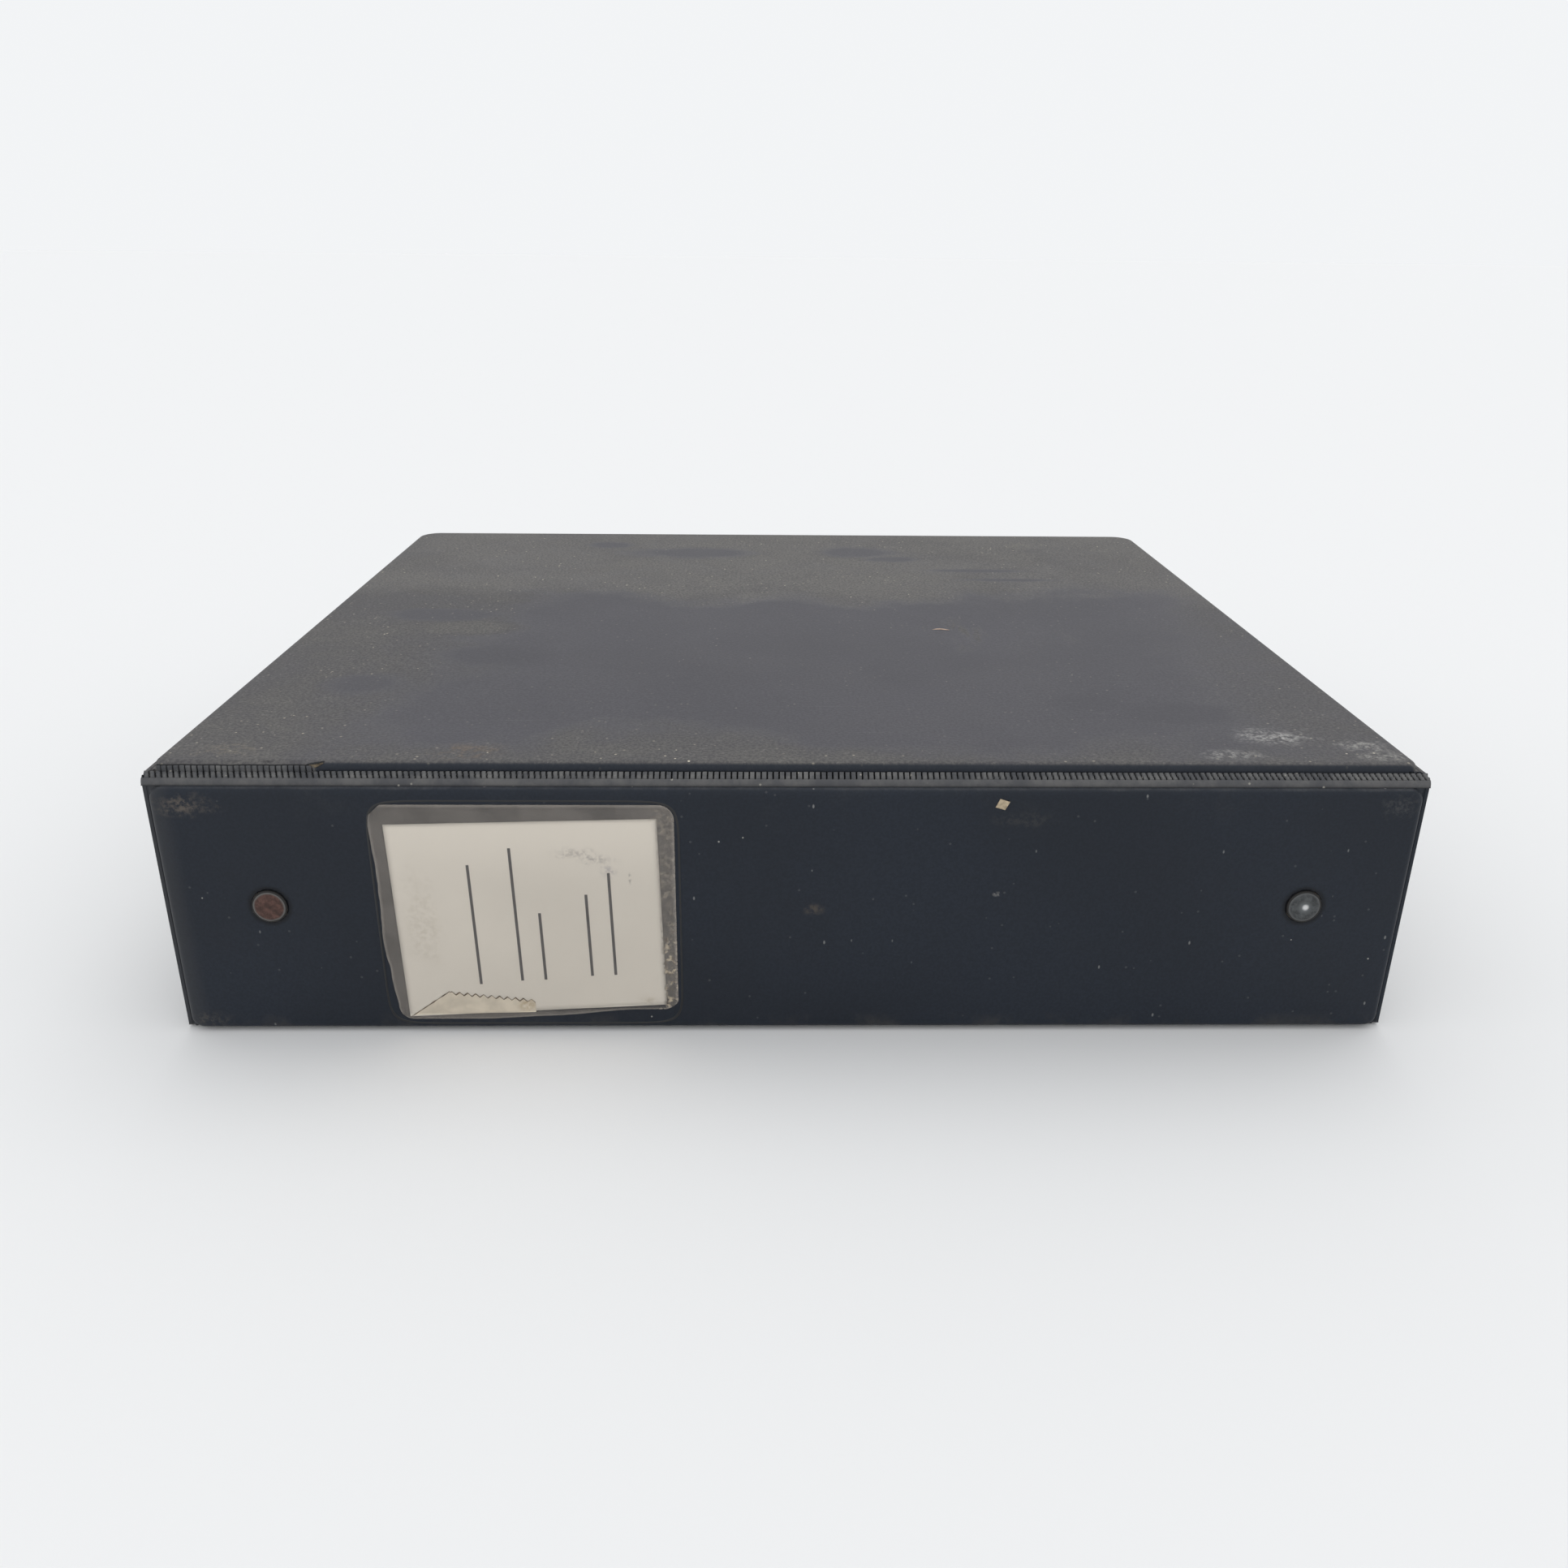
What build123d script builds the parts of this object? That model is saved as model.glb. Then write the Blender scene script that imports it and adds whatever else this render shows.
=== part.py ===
"""Three-ring binder for letter paper, lying shut on its back cover, in millimetres.

X runs along the spine with the head of the binder at -X, Y from the spine to the fore-edge, Z up.
Shapes are drawn with Y = 0 on the spine's outer face, then moved so that the origin is the
middle of the footprint on the table.
"""
from build123d import *
from math import acos, asin, degrees, radians, sin, sqrt
import os

# Closed binder
HEIGHT = 292.1              # along the spine, over the welded rims
THICKNESS = 68.5            # over both covers
COVER_REACH = 260.4         # spine face to the rim of the fore-edge

# Layers of a panel, from the outside in
SKIN = 0.45                 # outer vinyl
BOARD = 2.2                 # chipboard
LINER = 0.35                # inner vinyl
PANEL = SKIN + BOARD + LINER
RIM_WIDTH = 1.6             # welded rim of both vinyls, past the board
RIM_BACK = PANEL - SKIN - LINER    # depth of the rim's outer side below the panel's face
CORNER_RADIUS = 8.0         # fore-edge corners of a cover
HINGE_CORNER_RADIUS = 3.0   # panel corners beside a hinge
EDGE_RADIUS = 1.65          # vinyl rolled over the board's outer edge

# Hinges between the spine and the covers
HINGE_GAP = 4.0             # flat vinyl between two boards
FRONT_AXIS = 2.7            # front hinge axis, in from both outer faces
BACK_AXIS = 1.6             # back hinge axis, in from both outer faces
SPINE_LIFT = 0.9            # lower edge of the spine above the table
HINGE_CLEARANCE = 0.15      # hinge vinyl to the cover that swings on it
HINGE_SAG = 0.55            # back hinge vinyl below the spine's edge
SPINE_TOP = THICKNESS - FRONT_AXIS - HINGE_GAP / 2
FRONT_NEAR = FRONT_AXIS + HINGE_GAP / 2
BACK_NEAR = BACK_AXIS + HINGE_GAP - (SPINE_LIFT - BACK_AXIS)

# Label pocket and card on the spine
LABEL_POCKET_LEFT = -95.3
LABEL_POCKET_RIGHT = -26.8
LABEL_POCKET_LOW = 3.3
LABEL_POCKET_TOP = 60.1
LABEL_POCKET_RADIUS = 5.0
LABEL_WELD = 1.3
LABEL_FILM = 0.3
LABEL_CARD_LENGTH = 61.8
LABEL_CARD_WIDTH = 49.8
LABEL_CARD = 0.25
LABEL_CARD_CORNER = 1.0     # radius
LABEL_CARD_TILT = 1.4       # degrees, the card has slipped in its pocket
LABEL_ROOM = 0.1            # slack over the card
LABEL_STAND = LABEL_CARD + LABEL_ROOM + LABEL_FILM

# Inside pockets of the covers
POCKET_FILM = 0.3
POCKET_LENGTH = 125.0       # along the spine, from the tail edge
POCKET_NEAR = 20.0          # first edge, from the spine's outer face
POCKET_MARGIN = 4.0         # to the rim of the fore-edge
POCKET_TAIL_MARGIN = 0.6
POCKET_RADIUS = 6.0

# Ring mechanism: heights OUT are from the spine's liner, distances ACROSS from the middle plane
MIDDLE = THICKNESS / 2
RING_PITCH = 107.95
RING_BORE = 44.4
RING_WIRE = 3.8
RING_BEND = 2.5             # radius of the reverse bend above the foot
RING_FOOT_ACROSS = 6.6
RING_FOOT_OUT = 6.0         # top of the straight foot
RING_GAP = 0.34             # between the two tips when shut
NUB_RADIUS = 0.8
NUB_REACH = 0.75
SOCKET_RADIUS = 1.1
SOCKET_DEPTH = 1.2
TENON_RADIUS = 1.3
TENON_HEAD_RADIUS = 1.7
TENON_HEAD = 0.4

SHEET = 0.8                 # steel of the cover plate
PLATE_WIDTH = 22.6
PLATE_LENGTH = 268.0
PLATE_FOOT_OUT = 1.1
PLATE_SHOULDER_OUT = 4.4
PLATE_CROWN_OUT = 7.6
PLATE_LIP = 2.1             # in-turned lip, from the plate's side
SHOULDER_RADIUS = 1.4
PLATE_END_RADIUS = 1.5
SLOT_LENGTH = 4.8
SLOT_INNER_ACROSS = 3.9
SLOT_OUTER_ACROSS = 9.6
SLOT_CORNER = 1.0           # radius

BLADE = 1.2
BLADE_TILT = 4.6            # degrees, shut: the middle edges lie towards the spine
BLADE_MIDDLE_GAP = 0.36     # between the two blades
BLADE_SIDE_GAP = 0.4        # blade to the plate's side
BLADE_END_GAP = 0.3         # blade to a lever's hub
BLADE_PIVOT_IN = 0.2        # rocking axis, in from the blade's outer edge
BLADE_SEAT_GAP = 0.35       # blade to the lip that it rocks on
HOLE_CLEARANCE = 0.05       # radial, tenons and pins in their holes

# Rivets and posts that hold the mechanism on the spine
RIVET_X = 121.0
RIVET_HEAD_RADIUS = 4.1
RIVET_HEAD = 0.7
RIVET_SHANK_RADIUS = 2.0
RIVET_FLARE_RADIUS = 3.25
RIVET_FLARE = 0.6
RIVET_DIMPLE_RADIUS = 1.1
RIVET_DIMPLE = 2.5
RIVET_ROOM = 0.1            # radial, shank in its holes
VINYL_HOLE_ROOM = 0.3       # radial, head in the outer vinyl
POST_WALL = 1.0
POST_ROOM = 0.6             # radial, post in the notches of the blades

# Opening levers at the ends of the mechanism
PIN_X = 131.0
PIN_RADIUS = 1.0
PIN_STICK_OUT = 0.3
HUB_RADIUS = 1.9
LEVER_SHEET = 1.2
LEVER_WIDTH = 15.0
LEVER_TAB_WIDTH = 18.0
LEVER_NECK_OUT = 12.0       # where the lever widens into its tab
LEVER_SHOULDER_OUT = 15.0
LEVER_ARM = [(0, 0), (3.2, 0.8), (5.5, 3.4), (5.5, 13.0), (9.0, 17.2)]
LEVER_BEND = 1.4
TAB_CORNER = 3.0
TONGUE_WIDTH = 3.0
TONGUE_REACH = 3.6          # from the pin towards the blades
TONGUE = 0.8
TONGUE_LIFT = 0.3           # tongue above the liner
TONGUE_HEEL = 0.3           # tongue past the pin, outwards

# Worked out from the sizes above
PIVOT_OUT = PLATE_FOOT_OUT + SHEET + BLADE_SEAT_GAP + BLADE / 2
BLADE_EDGE = PLATE_WIDTH / 2 - SHEET - BLADE_SIDE_GAP
PIVOT_ACROSS = BLADE_EDGE - BLADE_PIVOT_IN
BLADE_LENGTH = 2 * (PIN_X - HUB_RADIUS - BLADE_END_GAP)
CROWN_RISE = PLATE_CROWN_OUT - PLATE_SHOULDER_OUT
CROWN_RADIUS = ((PLATE_WIDTH / 2) ** 2 + CROWN_RISE ** 2) / (2 * CROWN_RISE)
CROWN_CENTRE_OUT = PLATE_CROWN_OUT - CROWN_RADIUS
POST_INNER = RIVET_SHANK_RADIUS + RIVET_ROOM
POST_OUTER = POST_INNER + POST_WALL
RING_RADIUS = (RING_BORE + RING_WIRE) / 2
BOW_DIP = degrees(acos((RING_FOOT_ACROSS + RING_BEND) / (RING_RADIUS + RING_BEND)))
RING_CENTRE_OUT = RING_FOOT_OUT + (RING_RADIUS + RING_BEND) * sin(radians(BOW_DIP))
RING_X = [-RING_PITCH, 0.0, RING_PITCH]
FOOTPRINT_MIDDLE = (COVER_REACH - LABEL_STAND) / 2

FRONT, BACK = 1, -1         # the side of the middle plane that a jaw is on


def save(name, shape):
    """Write one sub-part, moved to the binder's own origin."""
    placed = Pos(0, -FOOTPRINT_MIDDLE, 0) * shape
    placed.label = name
    export_step(placed, f"parts/{name}.step")


def at_mechanism(x, out, across):
    """A place in the ring mechanism."""
    return Pos(x, PANEL + out, MIDDLE + across)


# ---- panels ----

def panel_outline(length, near, far, near_radius, far_radius):
    """Outline of a panel from near to far along Y, with a corner radius at each end."""
    outline = Pos(0, (near + far) / 2) * Rectangle(length, far - near)
    if far_radius:
        outline = fillet(outline.vertices().group_by(Axis.Y)[-1], far_radius)
    if near_radius:
        outline = fillet(outline.vertices().group_by(Axis.Y)[0], near_radius)
    return outline


def slab(outline, low, thickness, edge_radius=0):
    """A flat piece whose lower edge is rounded."""
    piece = extrude(outline, thickness)
    if edge_radius:
        piece = fillet(piece.faces().sort_by(Axis.Z)[0].edges(), edge_radius)
    return Pos(0, 0, low) * piece


def panel(near, far, far_radius, far_rim):
    """Outer vinyl, board and liner of a panel, with its outer face down on Z = 0."""
    length = HEIGHT - 2 * RIM_WIDTH
    edge = far - far_rim
    rim_radius = far_radius + far_rim if far_rim else 0
    rim = panel_outline(HEIGHT, near, far, 0, rim_radius)
    body = panel_outline(length, near, edge, HINGE_CORNER_RADIUS, far_radius)
    core = panel_outline(
        length - 2 * SKIN, near + SKIN, edge - SKIN, HINGE_CORNER_RADIUS - SKIN, far_radius - SKIN
    )
    board = slab(core, SKIN, BOARD, EDGE_RADIUS - SKIN)
    outer_vinyl = slab(body, 0, SKIN + BOARD, EDGE_RADIUS) + slab(rim, RIM_BACK, SKIN) - board
    liner = slab(rim, SKIN + BOARD, LINER)
    return outer_vinyl, board, liner


def inside_pocket(tail):
    """Film welded on a cover's liner, open towards the head; tail is the tail's side in X."""
    length_end = HEIGHT / 2 - RIM_WIDTH - POCKET_TAIL_MARGIN
    far = COVER_REACH - RIM_WIDTH - POCKET_MARGIN
    film = RectangleRounded(POCKET_LENGTH, far - POCKET_NEAR, POCKET_RADIUS)
    middle = Pos(tail * (length_end - POCKET_LENGTH / 2), (POCKET_NEAR + far) / 2, PANEL)
    return extrude(middle * film, POCKET_FILM)


def back_cover():
    """The cover that the binder lies on."""
    outer_vinyl, board, liner = panel(BACK_NEAR, COVER_REACH, CORNER_RADIUS, RIM_WIDTH)
    save("back_outer_vinyl", outer_vinyl)
    save("back_board", board)
    save("back_liner", liner)
    save("back_inside_pocket", inside_pocket(1))


def front_cover():
    """The upper cover, a panel turned over."""
    turn = Pos(0, 0, THICKNESS) * Rot(0, 180, 0)
    outer_vinyl, board, liner = panel(FRONT_NEAR, COVER_REACH, CORNER_RADIUS, RIM_WIDTH)
    save("front_outer_vinyl", turn * outer_vinyl)
    save("front_board", turn * board)
    save("front_liner", turn * liner)
    save("front_inside_pocket", turn * inside_pocket(-1))


def spine():
    """The standing panel, with holes for the rivets."""
    stand = Pos(0, 0, SPINE_TOP) * Rot(-90, 0, 0)
    outer_vinyl, board, liner = panel(0, SPINE_TOP - SPINE_LIFT, HINGE_CORNER_RADIUS, 0)
    outer_vinyl, board, liner = stand * outer_vinyl, stand * board, stand * liner
    for x in (-RIVET_X, RIVET_X):
        along = at_mechanism(x, 0, 0) * Rot(90, 0, 0)
        shank_hole = along * Cylinder(RIVET_SHANK_RADIUS + RIVET_ROOM, 4 * PANEL)
        outer_vinyl -= along * Cylinder(RIVET_HEAD_RADIUS + VINYL_HOLE_ROOM, 4 * PANEL)
        board -= shank_hole
        liner -= shank_hole
    save("spine_outer_vinyl", outer_vinyl)
    save("spine_board", board)
    save("spine_liner", liner)


# ---- hinge vinyl ----

def front_hinge():
    """Quarter-round strip of welded vinyl from the spine's top edge to the front cover."""
    side = Plane(origin=(0, FRONT_NEAR, SPINE_TOP), x_dir=(0, 1, 0), z_dir=(1, 0, 0))
    outer, inner = FRONT_NEAR - RIM_BACK, FRONT_NEAR - PANEL
    ring = Circle(outer) - Circle(inner)
    quarter = Pos(-outer / 2 - HINGE_CLEARANCE, outer / 2) * Rectangle(outer, outer)
    save("front_hinge_vinyl", extrude(side * (ring & quarter), HEIGHT / 2, both=True))


def back_hinge():
    """Sagging strip of welded vinyl from the spine's lower edge up to the back cover."""
    edge = BACK_NEAR - HINGE_CLEARANCE
    low = SPINE_LIFT - HINGE_SAG
    section = make_face(
        Polyline(
            (RIM_BACK, SPINE_LIFT), (RIM_BACK + HINGE_SAG / 2, low), (PANEL, low),
            (edge, RIM_BACK), (edge, PANEL), (PANEL, SPINE_LIFT), close=True
        )
    )
    side = Plane(origin=(0, 0, 0), x_dir=(0, 1, 0), z_dir=(1, 0, 0))
    save("back_hinge_vinyl", extrude(side * section, HEIGHT / 2, both=True))


# ---- label ----

def label():
    """Clear pocket welded on the spine on three sides, open at the head, with its card."""
    length = LABEL_POCKET_RIGHT - LABEL_POCKET_LEFT
    width = LABEL_POCKET_TOP - LABEL_POCKET_LOW
    middle = ((LABEL_POCKET_LEFT + LABEL_POCKET_RIGHT) / 2, 0, (LABEL_POCKET_LOW + LABEL_POCKET_TOP) / 2)
    face = Plane(origin=middle, x_dir=(1, 0, 0), z_dir=(0, -1, 0))

    def layer(inset, thickness):
        outline = RectangleRounded(length - 2 * inset, width - 2 * inset, LABEL_POCKET_RADIUS - inset)
        return extrude(face * outline, thickness)

    inset = LABEL_WELD + LABEL_FILM
    room = LABEL_STAND - LABEL_FILM
    mouth = face * Pos(-length / 2, 0, room / 2) * Box(length, width - 2 * LABEL_POCKET_RADIUS, room)
    pocket = layer(0, LABEL_FILM) + layer(LABEL_WELD, LABEL_STAND) - layer(inset, room) - mouth
    card = RectangleRounded(LABEL_CARD_LENGTH, LABEL_CARD_WIDTH, LABEL_CARD_CORNER)
    save("label_pocket", pocket)
    save("label_card", extrude(face * Rot(0, 0, LABEL_CARD_TILT) * card, LABEL_CARD))


# ---- ring mechanism ----

def plate_outline(inset, low):
    """Section of the arched cover plate moved in by inset, from low up to its crown."""
    half = PLATE_WIDTH / 2 - inset
    radius = CROWN_RADIUS - inset
    shoulder = CROWN_CENTRE_OUT + sqrt(radius ** 2 - half ** 2)
    crown = ThreePointArc((-half, shoulder), (0, CROWN_CENTRE_OUT + radius), (half, shoulder))
    sides = Polyline((half, shoulder), (half, low), (-half, low), (-half, shoulder))
    outline = make_face([crown, sides])
    return fillet(outline.vertices().group_by(Axis.Y)[-1], SHOULDER_RADIUS - inset)


def along_mechanism(section, length):
    """Stretch a section, drawn across and out, along the mechanism."""
    end = Plane(origin=(0, PANEL, MIDDLE), x_dir=(0, 0, 1), z_dir=(-1, 0, 0))
    return extrude(end * section, length / 2, both=True)


def cover_plate():
    """Sprung sheet-steel cover with in-turned lips that the blades rock on."""
    lips = Pos(0, PLATE_FOOT_OUT) * Rectangle(PLATE_WIDTH - 2 * PLATE_LIP, 4 * SHEET)
    section = plate_outline(0, PLATE_FOOT_OUT) - plate_outline(SHEET, PLATE_FOOT_OUT + SHEET) - lips
    plate = along_mechanism(section, PLATE_LENGTH)
    from_above = Plane(origin=(0, PANEL, MIDDLE), x_dir=(1, 0, 0), z_dir=(0, 1, 0))
    plate &= extrude(
        from_above * RectangleRounded(PLATE_LENGTH, PLATE_WIDTH, PLATE_END_RADIUS), PLATE_CROWN_OUT
    )
    slot_width = SLOT_OUTER_ACROSS - SLOT_INNER_ACROSS
    slot_across = (SLOT_OUTER_ACROSS + SLOT_INNER_ACROSS) / 2
    slot = Box(SLOT_LENGTH, PLATE_CROWN_OUT, slot_width)
    slot = fillet(slot.edges().filter_by(Axis.Y), SLOT_CORNER)
    for x in RING_X:
        for side in (FRONT, BACK):
            plate -= at_mechanism(x, PLATE_CROWN_OUT, side * slot_across) * slot
    for x in (-RIVET_X, RIVET_X):
        plate -= at_mechanism(x, PLATE_CROWN_OUT, 0) * Rot(90, 0, 0) * Cylinder(POST_INNER, 4 * SHEET)
    for x in (-PIN_X, PIN_X):
        plate -= at_mechanism(x, PIVOT_OUT, 0) * Cylinder(PIN_RADIUS + HOLE_CLEARANCE, 2 * PLATE_WIDTH)
    save("ring_cover_plate", plate)


def post_and_rivet(name, x):
    """Post between the spine and the cover plate, and the rivet clinched through both."""
    along = at_mechanism(x, 0, 0) * Rot(-90, 0, 0)
    under_crown = along_mechanism(plate_outline(SHEET, 0), PLATE_LENGTH)
    tube = Cylinder(POST_OUTER, 2 * PLATE_CROWN_OUT) - Cylinder(POST_INNER, 2 * PLATE_CROWN_OUT)
    save(f"{name}_post", (along * tube) & under_crown)

    seat = SKIN - PANEL
    head = Pos(0, 0, seat - RIVET_HEAD / 2) * Cylinder(RIVET_HEAD_RADIUS, RIVET_HEAD)
    head = fillet(head.edges().group_by(Axis.Z)[0], RIVET_HEAD / 3)
    shank_length = PLATE_CROWN_OUT - seat
    shank = Pos(0, 0, seat + shank_length / 2) * Cylinder(RIVET_SHANK_RADIUS, shank_length)
    flare = Pos(0, 0, PLATE_CROWN_OUT + RIVET_FLARE / 2) * Cylinder(RIVET_FLARE_RADIUS, RIVET_FLARE)
    flare = fillet(flare.edges().group_by(Axis.Z)[-1], RIVET_FLARE / 2)
    dimple_out = PLATE_CROWN_OUT + RIVET_FLARE - RIVET_DIMPLE / 2
    dimple = Pos(0, 0, dimple_out) * Cylinder(RIVET_DIMPLE_RADIUS, RIVET_DIMPLE)
    save(f"{name}_rivet", along * (head + shank + flare - dimple))


def shut_tilt(side):
    """The turn about a blade's pivot that takes it from level to its shut place."""
    pivot = at_mechanism(0, PIVOT_OUT, side * PIVOT_ACROSS)
    return pivot * Rot(-side * BLADE_TILT, 0, 0) * pivot.inverse()


def blade(side):
    """Long rocking blade that carries one half of every ring."""
    width = BLADE_EDGE - BLADE_MIDDLE_GAP / 2
    across = side * (BLADE_EDGE + BLADE_MIDDLE_GAP / 2) / 2
    plate = at_mechanism(0, PIVOT_OUT, across) * Box(BLADE_LENGTH, BLADE, width)
    for x in (-RIVET_X, RIVET_X):
        notch = Cylinder(POST_OUTER + POST_ROOM, 2 * BLADE)
        plate -= at_mechanism(x, PIVOT_OUT, 0) * Rot(90, 0, 0) * notch
    for x in RING_X:
        hole = Cylinder(TENON_RADIUS + HOLE_CLEARANCE, 2 * BLADE)
        plate -= at_mechanism(x, PIVOT_OUT, side * RING_FOOT_ACROSS) * Rot(90, 0, 0) * hole
    return shut_tilt(side) * plate


def half_ring(side, x):
    """Half of a ring: tip, bow, reverse bend and straight foot, staked into its blade."""
    bend_across = RING_FOOT_ACROSS + RING_BEND
    tip_angle = 90 - degrees(asin(RING_GAP / 2 / RING_RADIUS))
    foot = Line((RING_FOOT_ACROSS, PIVOT_OUT), (RING_FOOT_ACROSS, RING_FOOT_OUT))
    bend = CenterArc((bend_across, RING_FOOT_OUT), RING_BEND, 180, -BOW_DIP)
    bow = CenterArc((0, RING_CENTRE_OUT), RING_RADIUS, -BOW_DIP, BOW_DIP + tip_angle)
    start = Plane(origin=(RING_FOOT_ACROSS, PIVOT_OUT, 0), z_dir=(0, 1, 0))
    wire = sweep(start * Circle(RING_WIRE / 2), path=Wire([foot.edge(), bend.edge(), bow.edge()]))
    frame = Plane(origin=(x, PANEL, MIDDLE), x_dir=(0, 0, side), z_dir=(-side, 0, 0))
    wire = frame * wire

    tip_out = RING_CENTRE_OUT + RING_RADIUS
    if side == FRONT:
        inside = NUB_REACH - RING_GAP / 2
        nub = Cylinder(NUB_RADIUS, NUB_REACH + RING_GAP + inside)
        nub = fillet(nub.edges().group_by(Axis.Z)[0], NUB_RADIUS / 2)
        wire += at_mechanism(x, tip_out, (inside - NUB_REACH + RING_GAP) / 2) * nub
    else:
        depth = SOCKET_DEPTH + RING_GAP / 2
        wire -= at_mechanism(x, tip_out, -depth / 2) * Cylinder(SOCKET_RADIUS, depth)

    seat = at_mechanism(x, PIVOT_OUT, side * RING_FOOT_ACROSS)
    under = Pos(0, BLADE / 2 - RING_WIRE, 0) * Box(3 * RING_WIRE, 2 * RING_WIRE, 2 * RING_WIRE)
    tenon = Rot(90, 0, 0) * Cylinder(TENON_RADIUS, BLADE)
    head = Pos(0, -(BLADE + TENON_HEAD) / 2, 0) * Rot(90, 0, 0) * Cylinder(TENON_HEAD_RADIUS, TENON_HEAD)
    tilt = shut_tilt(side)
    return wire - tilt * seat * under + tilt * seat * tenon + tilt * seat * head


def jaw(name, side):
    """One blade with its three half rings."""
    save(f"{name}_blade", blade(side))
    for place, x in zip(("left", "middle", "right"), RING_X):
        save(f"{name}_ring_{place}", half_ring(side, x))


def lever():
    """Opening lever of the tail end: hub, arm with a curled tab, and tongue under the blades."""
    pin = at_mechanism(PIN_X, PIVOT_OUT, 0)
    spread = LEVER_TAB_WIDTH / 2
    neck = LEVER_WIDTH / 2
    top = PIVOT_OUT + LEVER_ARM[-1][1]
    front = make_face(
        Polyline(
            (-neck, 0), (-neck, LEVER_NECK_OUT), (-spread, LEVER_SHOULDER_OUT), (-spread, top),
            (spread, top), (spread, LEVER_SHOULDER_OUT), (neck, LEVER_NECK_OUT), (neck, 0), close=True
        )
    )
    front = fillet(front.vertices().group_by(Axis.Y)[-1], TAB_CORNER)
    end = Plane(origin=(PIN_X, PANEL, MIDDLE), x_dir=(0, 0, 1), z_dir=(-1, 0, 0))
    bent_strip = trace(FilletPolyline(*LEVER_ARM, radius=LEVER_BEND), LEVER_SHEET)
    arm = extrude(pin * bent_strip, spread, both=True)
    arm &= extrude(end * front, 2 * LEVER_ARM[-1][0], both=True)

    tongue_low = TONGUE_LIFT - PIVOT_OUT
    tongue = Box(TONGUE_REACH + TONGUE_HEEL, TONGUE, TONGUE_WIDTH)
    tongue = Pos((TONGUE_HEEL - TONGUE_REACH) / 2, tongue_low + TONGUE / 2, 0) * tongue
    web = Box(TONGUE_HEEL + HUB_RADIUS / 2, -tongue_low, TONGUE_WIDTH)
    web = Pos((TONGUE_HEEL - HUB_RADIUS / 2) / 2, tongue_low / 2, 0) * web
    hub = Cylinder(HUB_RADIUS, LEVER_WIDTH)
    bore = Cylinder(PIN_RADIUS + HOLE_CLEARANCE, 2 * LEVER_WIDTH)
    return arm + pin * (hub + tongue + web) - pin * bore


def levers_and_pins():
    """A lever and its hinge pin at each end of the mechanism."""
    right = lever()
    save("right_lever", right)
    save("left_lever", mirror(right, about=Plane.YZ))
    for name, x in (("left", -PIN_X), ("right", PIN_X)):
        pin = Cylinder(PIN_RADIUS, PLATE_WIDTH + 2 * PIN_STICK_OUT)
        save(f"{name}_lever_pin", at_mechanism(x, PIVOT_OUT, 0) * pin)


os.makedirs("parts", exist_ok=True)
spine()
front_cover()
back_cover()
front_hinge()
back_hinge()
label()
cover_plate()
post_and_rivet("left", -RIVET_X)
post_and_rivet("right", RIVET_X)
jaw("front", FRONT)
jaw("back", BACK)
levers_and_pins()
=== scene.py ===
"""Looks of the three-ring binder: vinyl, ribbed hinges, label, rivets, pockets and their stage.

Each piece is drawn in the binder's own millimetres, with X along the spine, Y = 0 on the spine's
outer face and Z up from the table, and is then moved into the row frame in metres.
"""

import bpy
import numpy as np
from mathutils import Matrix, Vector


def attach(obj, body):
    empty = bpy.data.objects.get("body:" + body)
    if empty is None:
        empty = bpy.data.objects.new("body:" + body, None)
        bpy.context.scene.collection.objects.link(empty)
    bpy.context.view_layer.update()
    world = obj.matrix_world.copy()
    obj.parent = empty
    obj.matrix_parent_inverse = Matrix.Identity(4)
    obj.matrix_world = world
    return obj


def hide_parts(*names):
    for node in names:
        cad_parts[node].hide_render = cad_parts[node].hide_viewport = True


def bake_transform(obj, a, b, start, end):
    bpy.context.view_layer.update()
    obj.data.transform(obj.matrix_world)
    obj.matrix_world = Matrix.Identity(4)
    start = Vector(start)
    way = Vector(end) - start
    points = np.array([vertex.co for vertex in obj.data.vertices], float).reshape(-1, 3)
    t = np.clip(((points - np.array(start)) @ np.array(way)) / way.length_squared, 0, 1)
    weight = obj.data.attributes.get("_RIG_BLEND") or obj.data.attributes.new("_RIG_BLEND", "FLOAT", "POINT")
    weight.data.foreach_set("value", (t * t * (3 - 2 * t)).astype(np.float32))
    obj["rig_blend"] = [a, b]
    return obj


bl_info = {
    "name": "Ring Binder",
    "version": (1, 0, 0),
    "blender": (4, 5, 0),
    "location": "3D View > Sidebar > Binder",
    "description": "Builds the vinyl, label, hinges and stage of a worn three-ring binder",
    "category": "Add Mesh",
}

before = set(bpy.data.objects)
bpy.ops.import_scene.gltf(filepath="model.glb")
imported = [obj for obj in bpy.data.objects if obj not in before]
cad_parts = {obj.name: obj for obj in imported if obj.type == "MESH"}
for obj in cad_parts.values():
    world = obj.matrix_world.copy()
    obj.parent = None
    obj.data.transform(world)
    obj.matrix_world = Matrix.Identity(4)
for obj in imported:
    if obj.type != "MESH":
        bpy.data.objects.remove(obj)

import math
import random

import bmesh
import bpy
from bpy.props import FloatProperty, FloatVectorProperty, IntProperty, PointerProperty
from mathutils import Matrix, Vector, noise


# ---- settings ----

def length(name, default, description):
    return FloatProperty(name=name, description=description, default=default, unit="LENGTH",
                         subtype="DISTANCE", precision=5)


def colour(name, default, description):
    return FloatVectorProperty(name=name, description=description, default=default, subtype="COLOR", size=3,
                               min=0, max=1)


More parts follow.
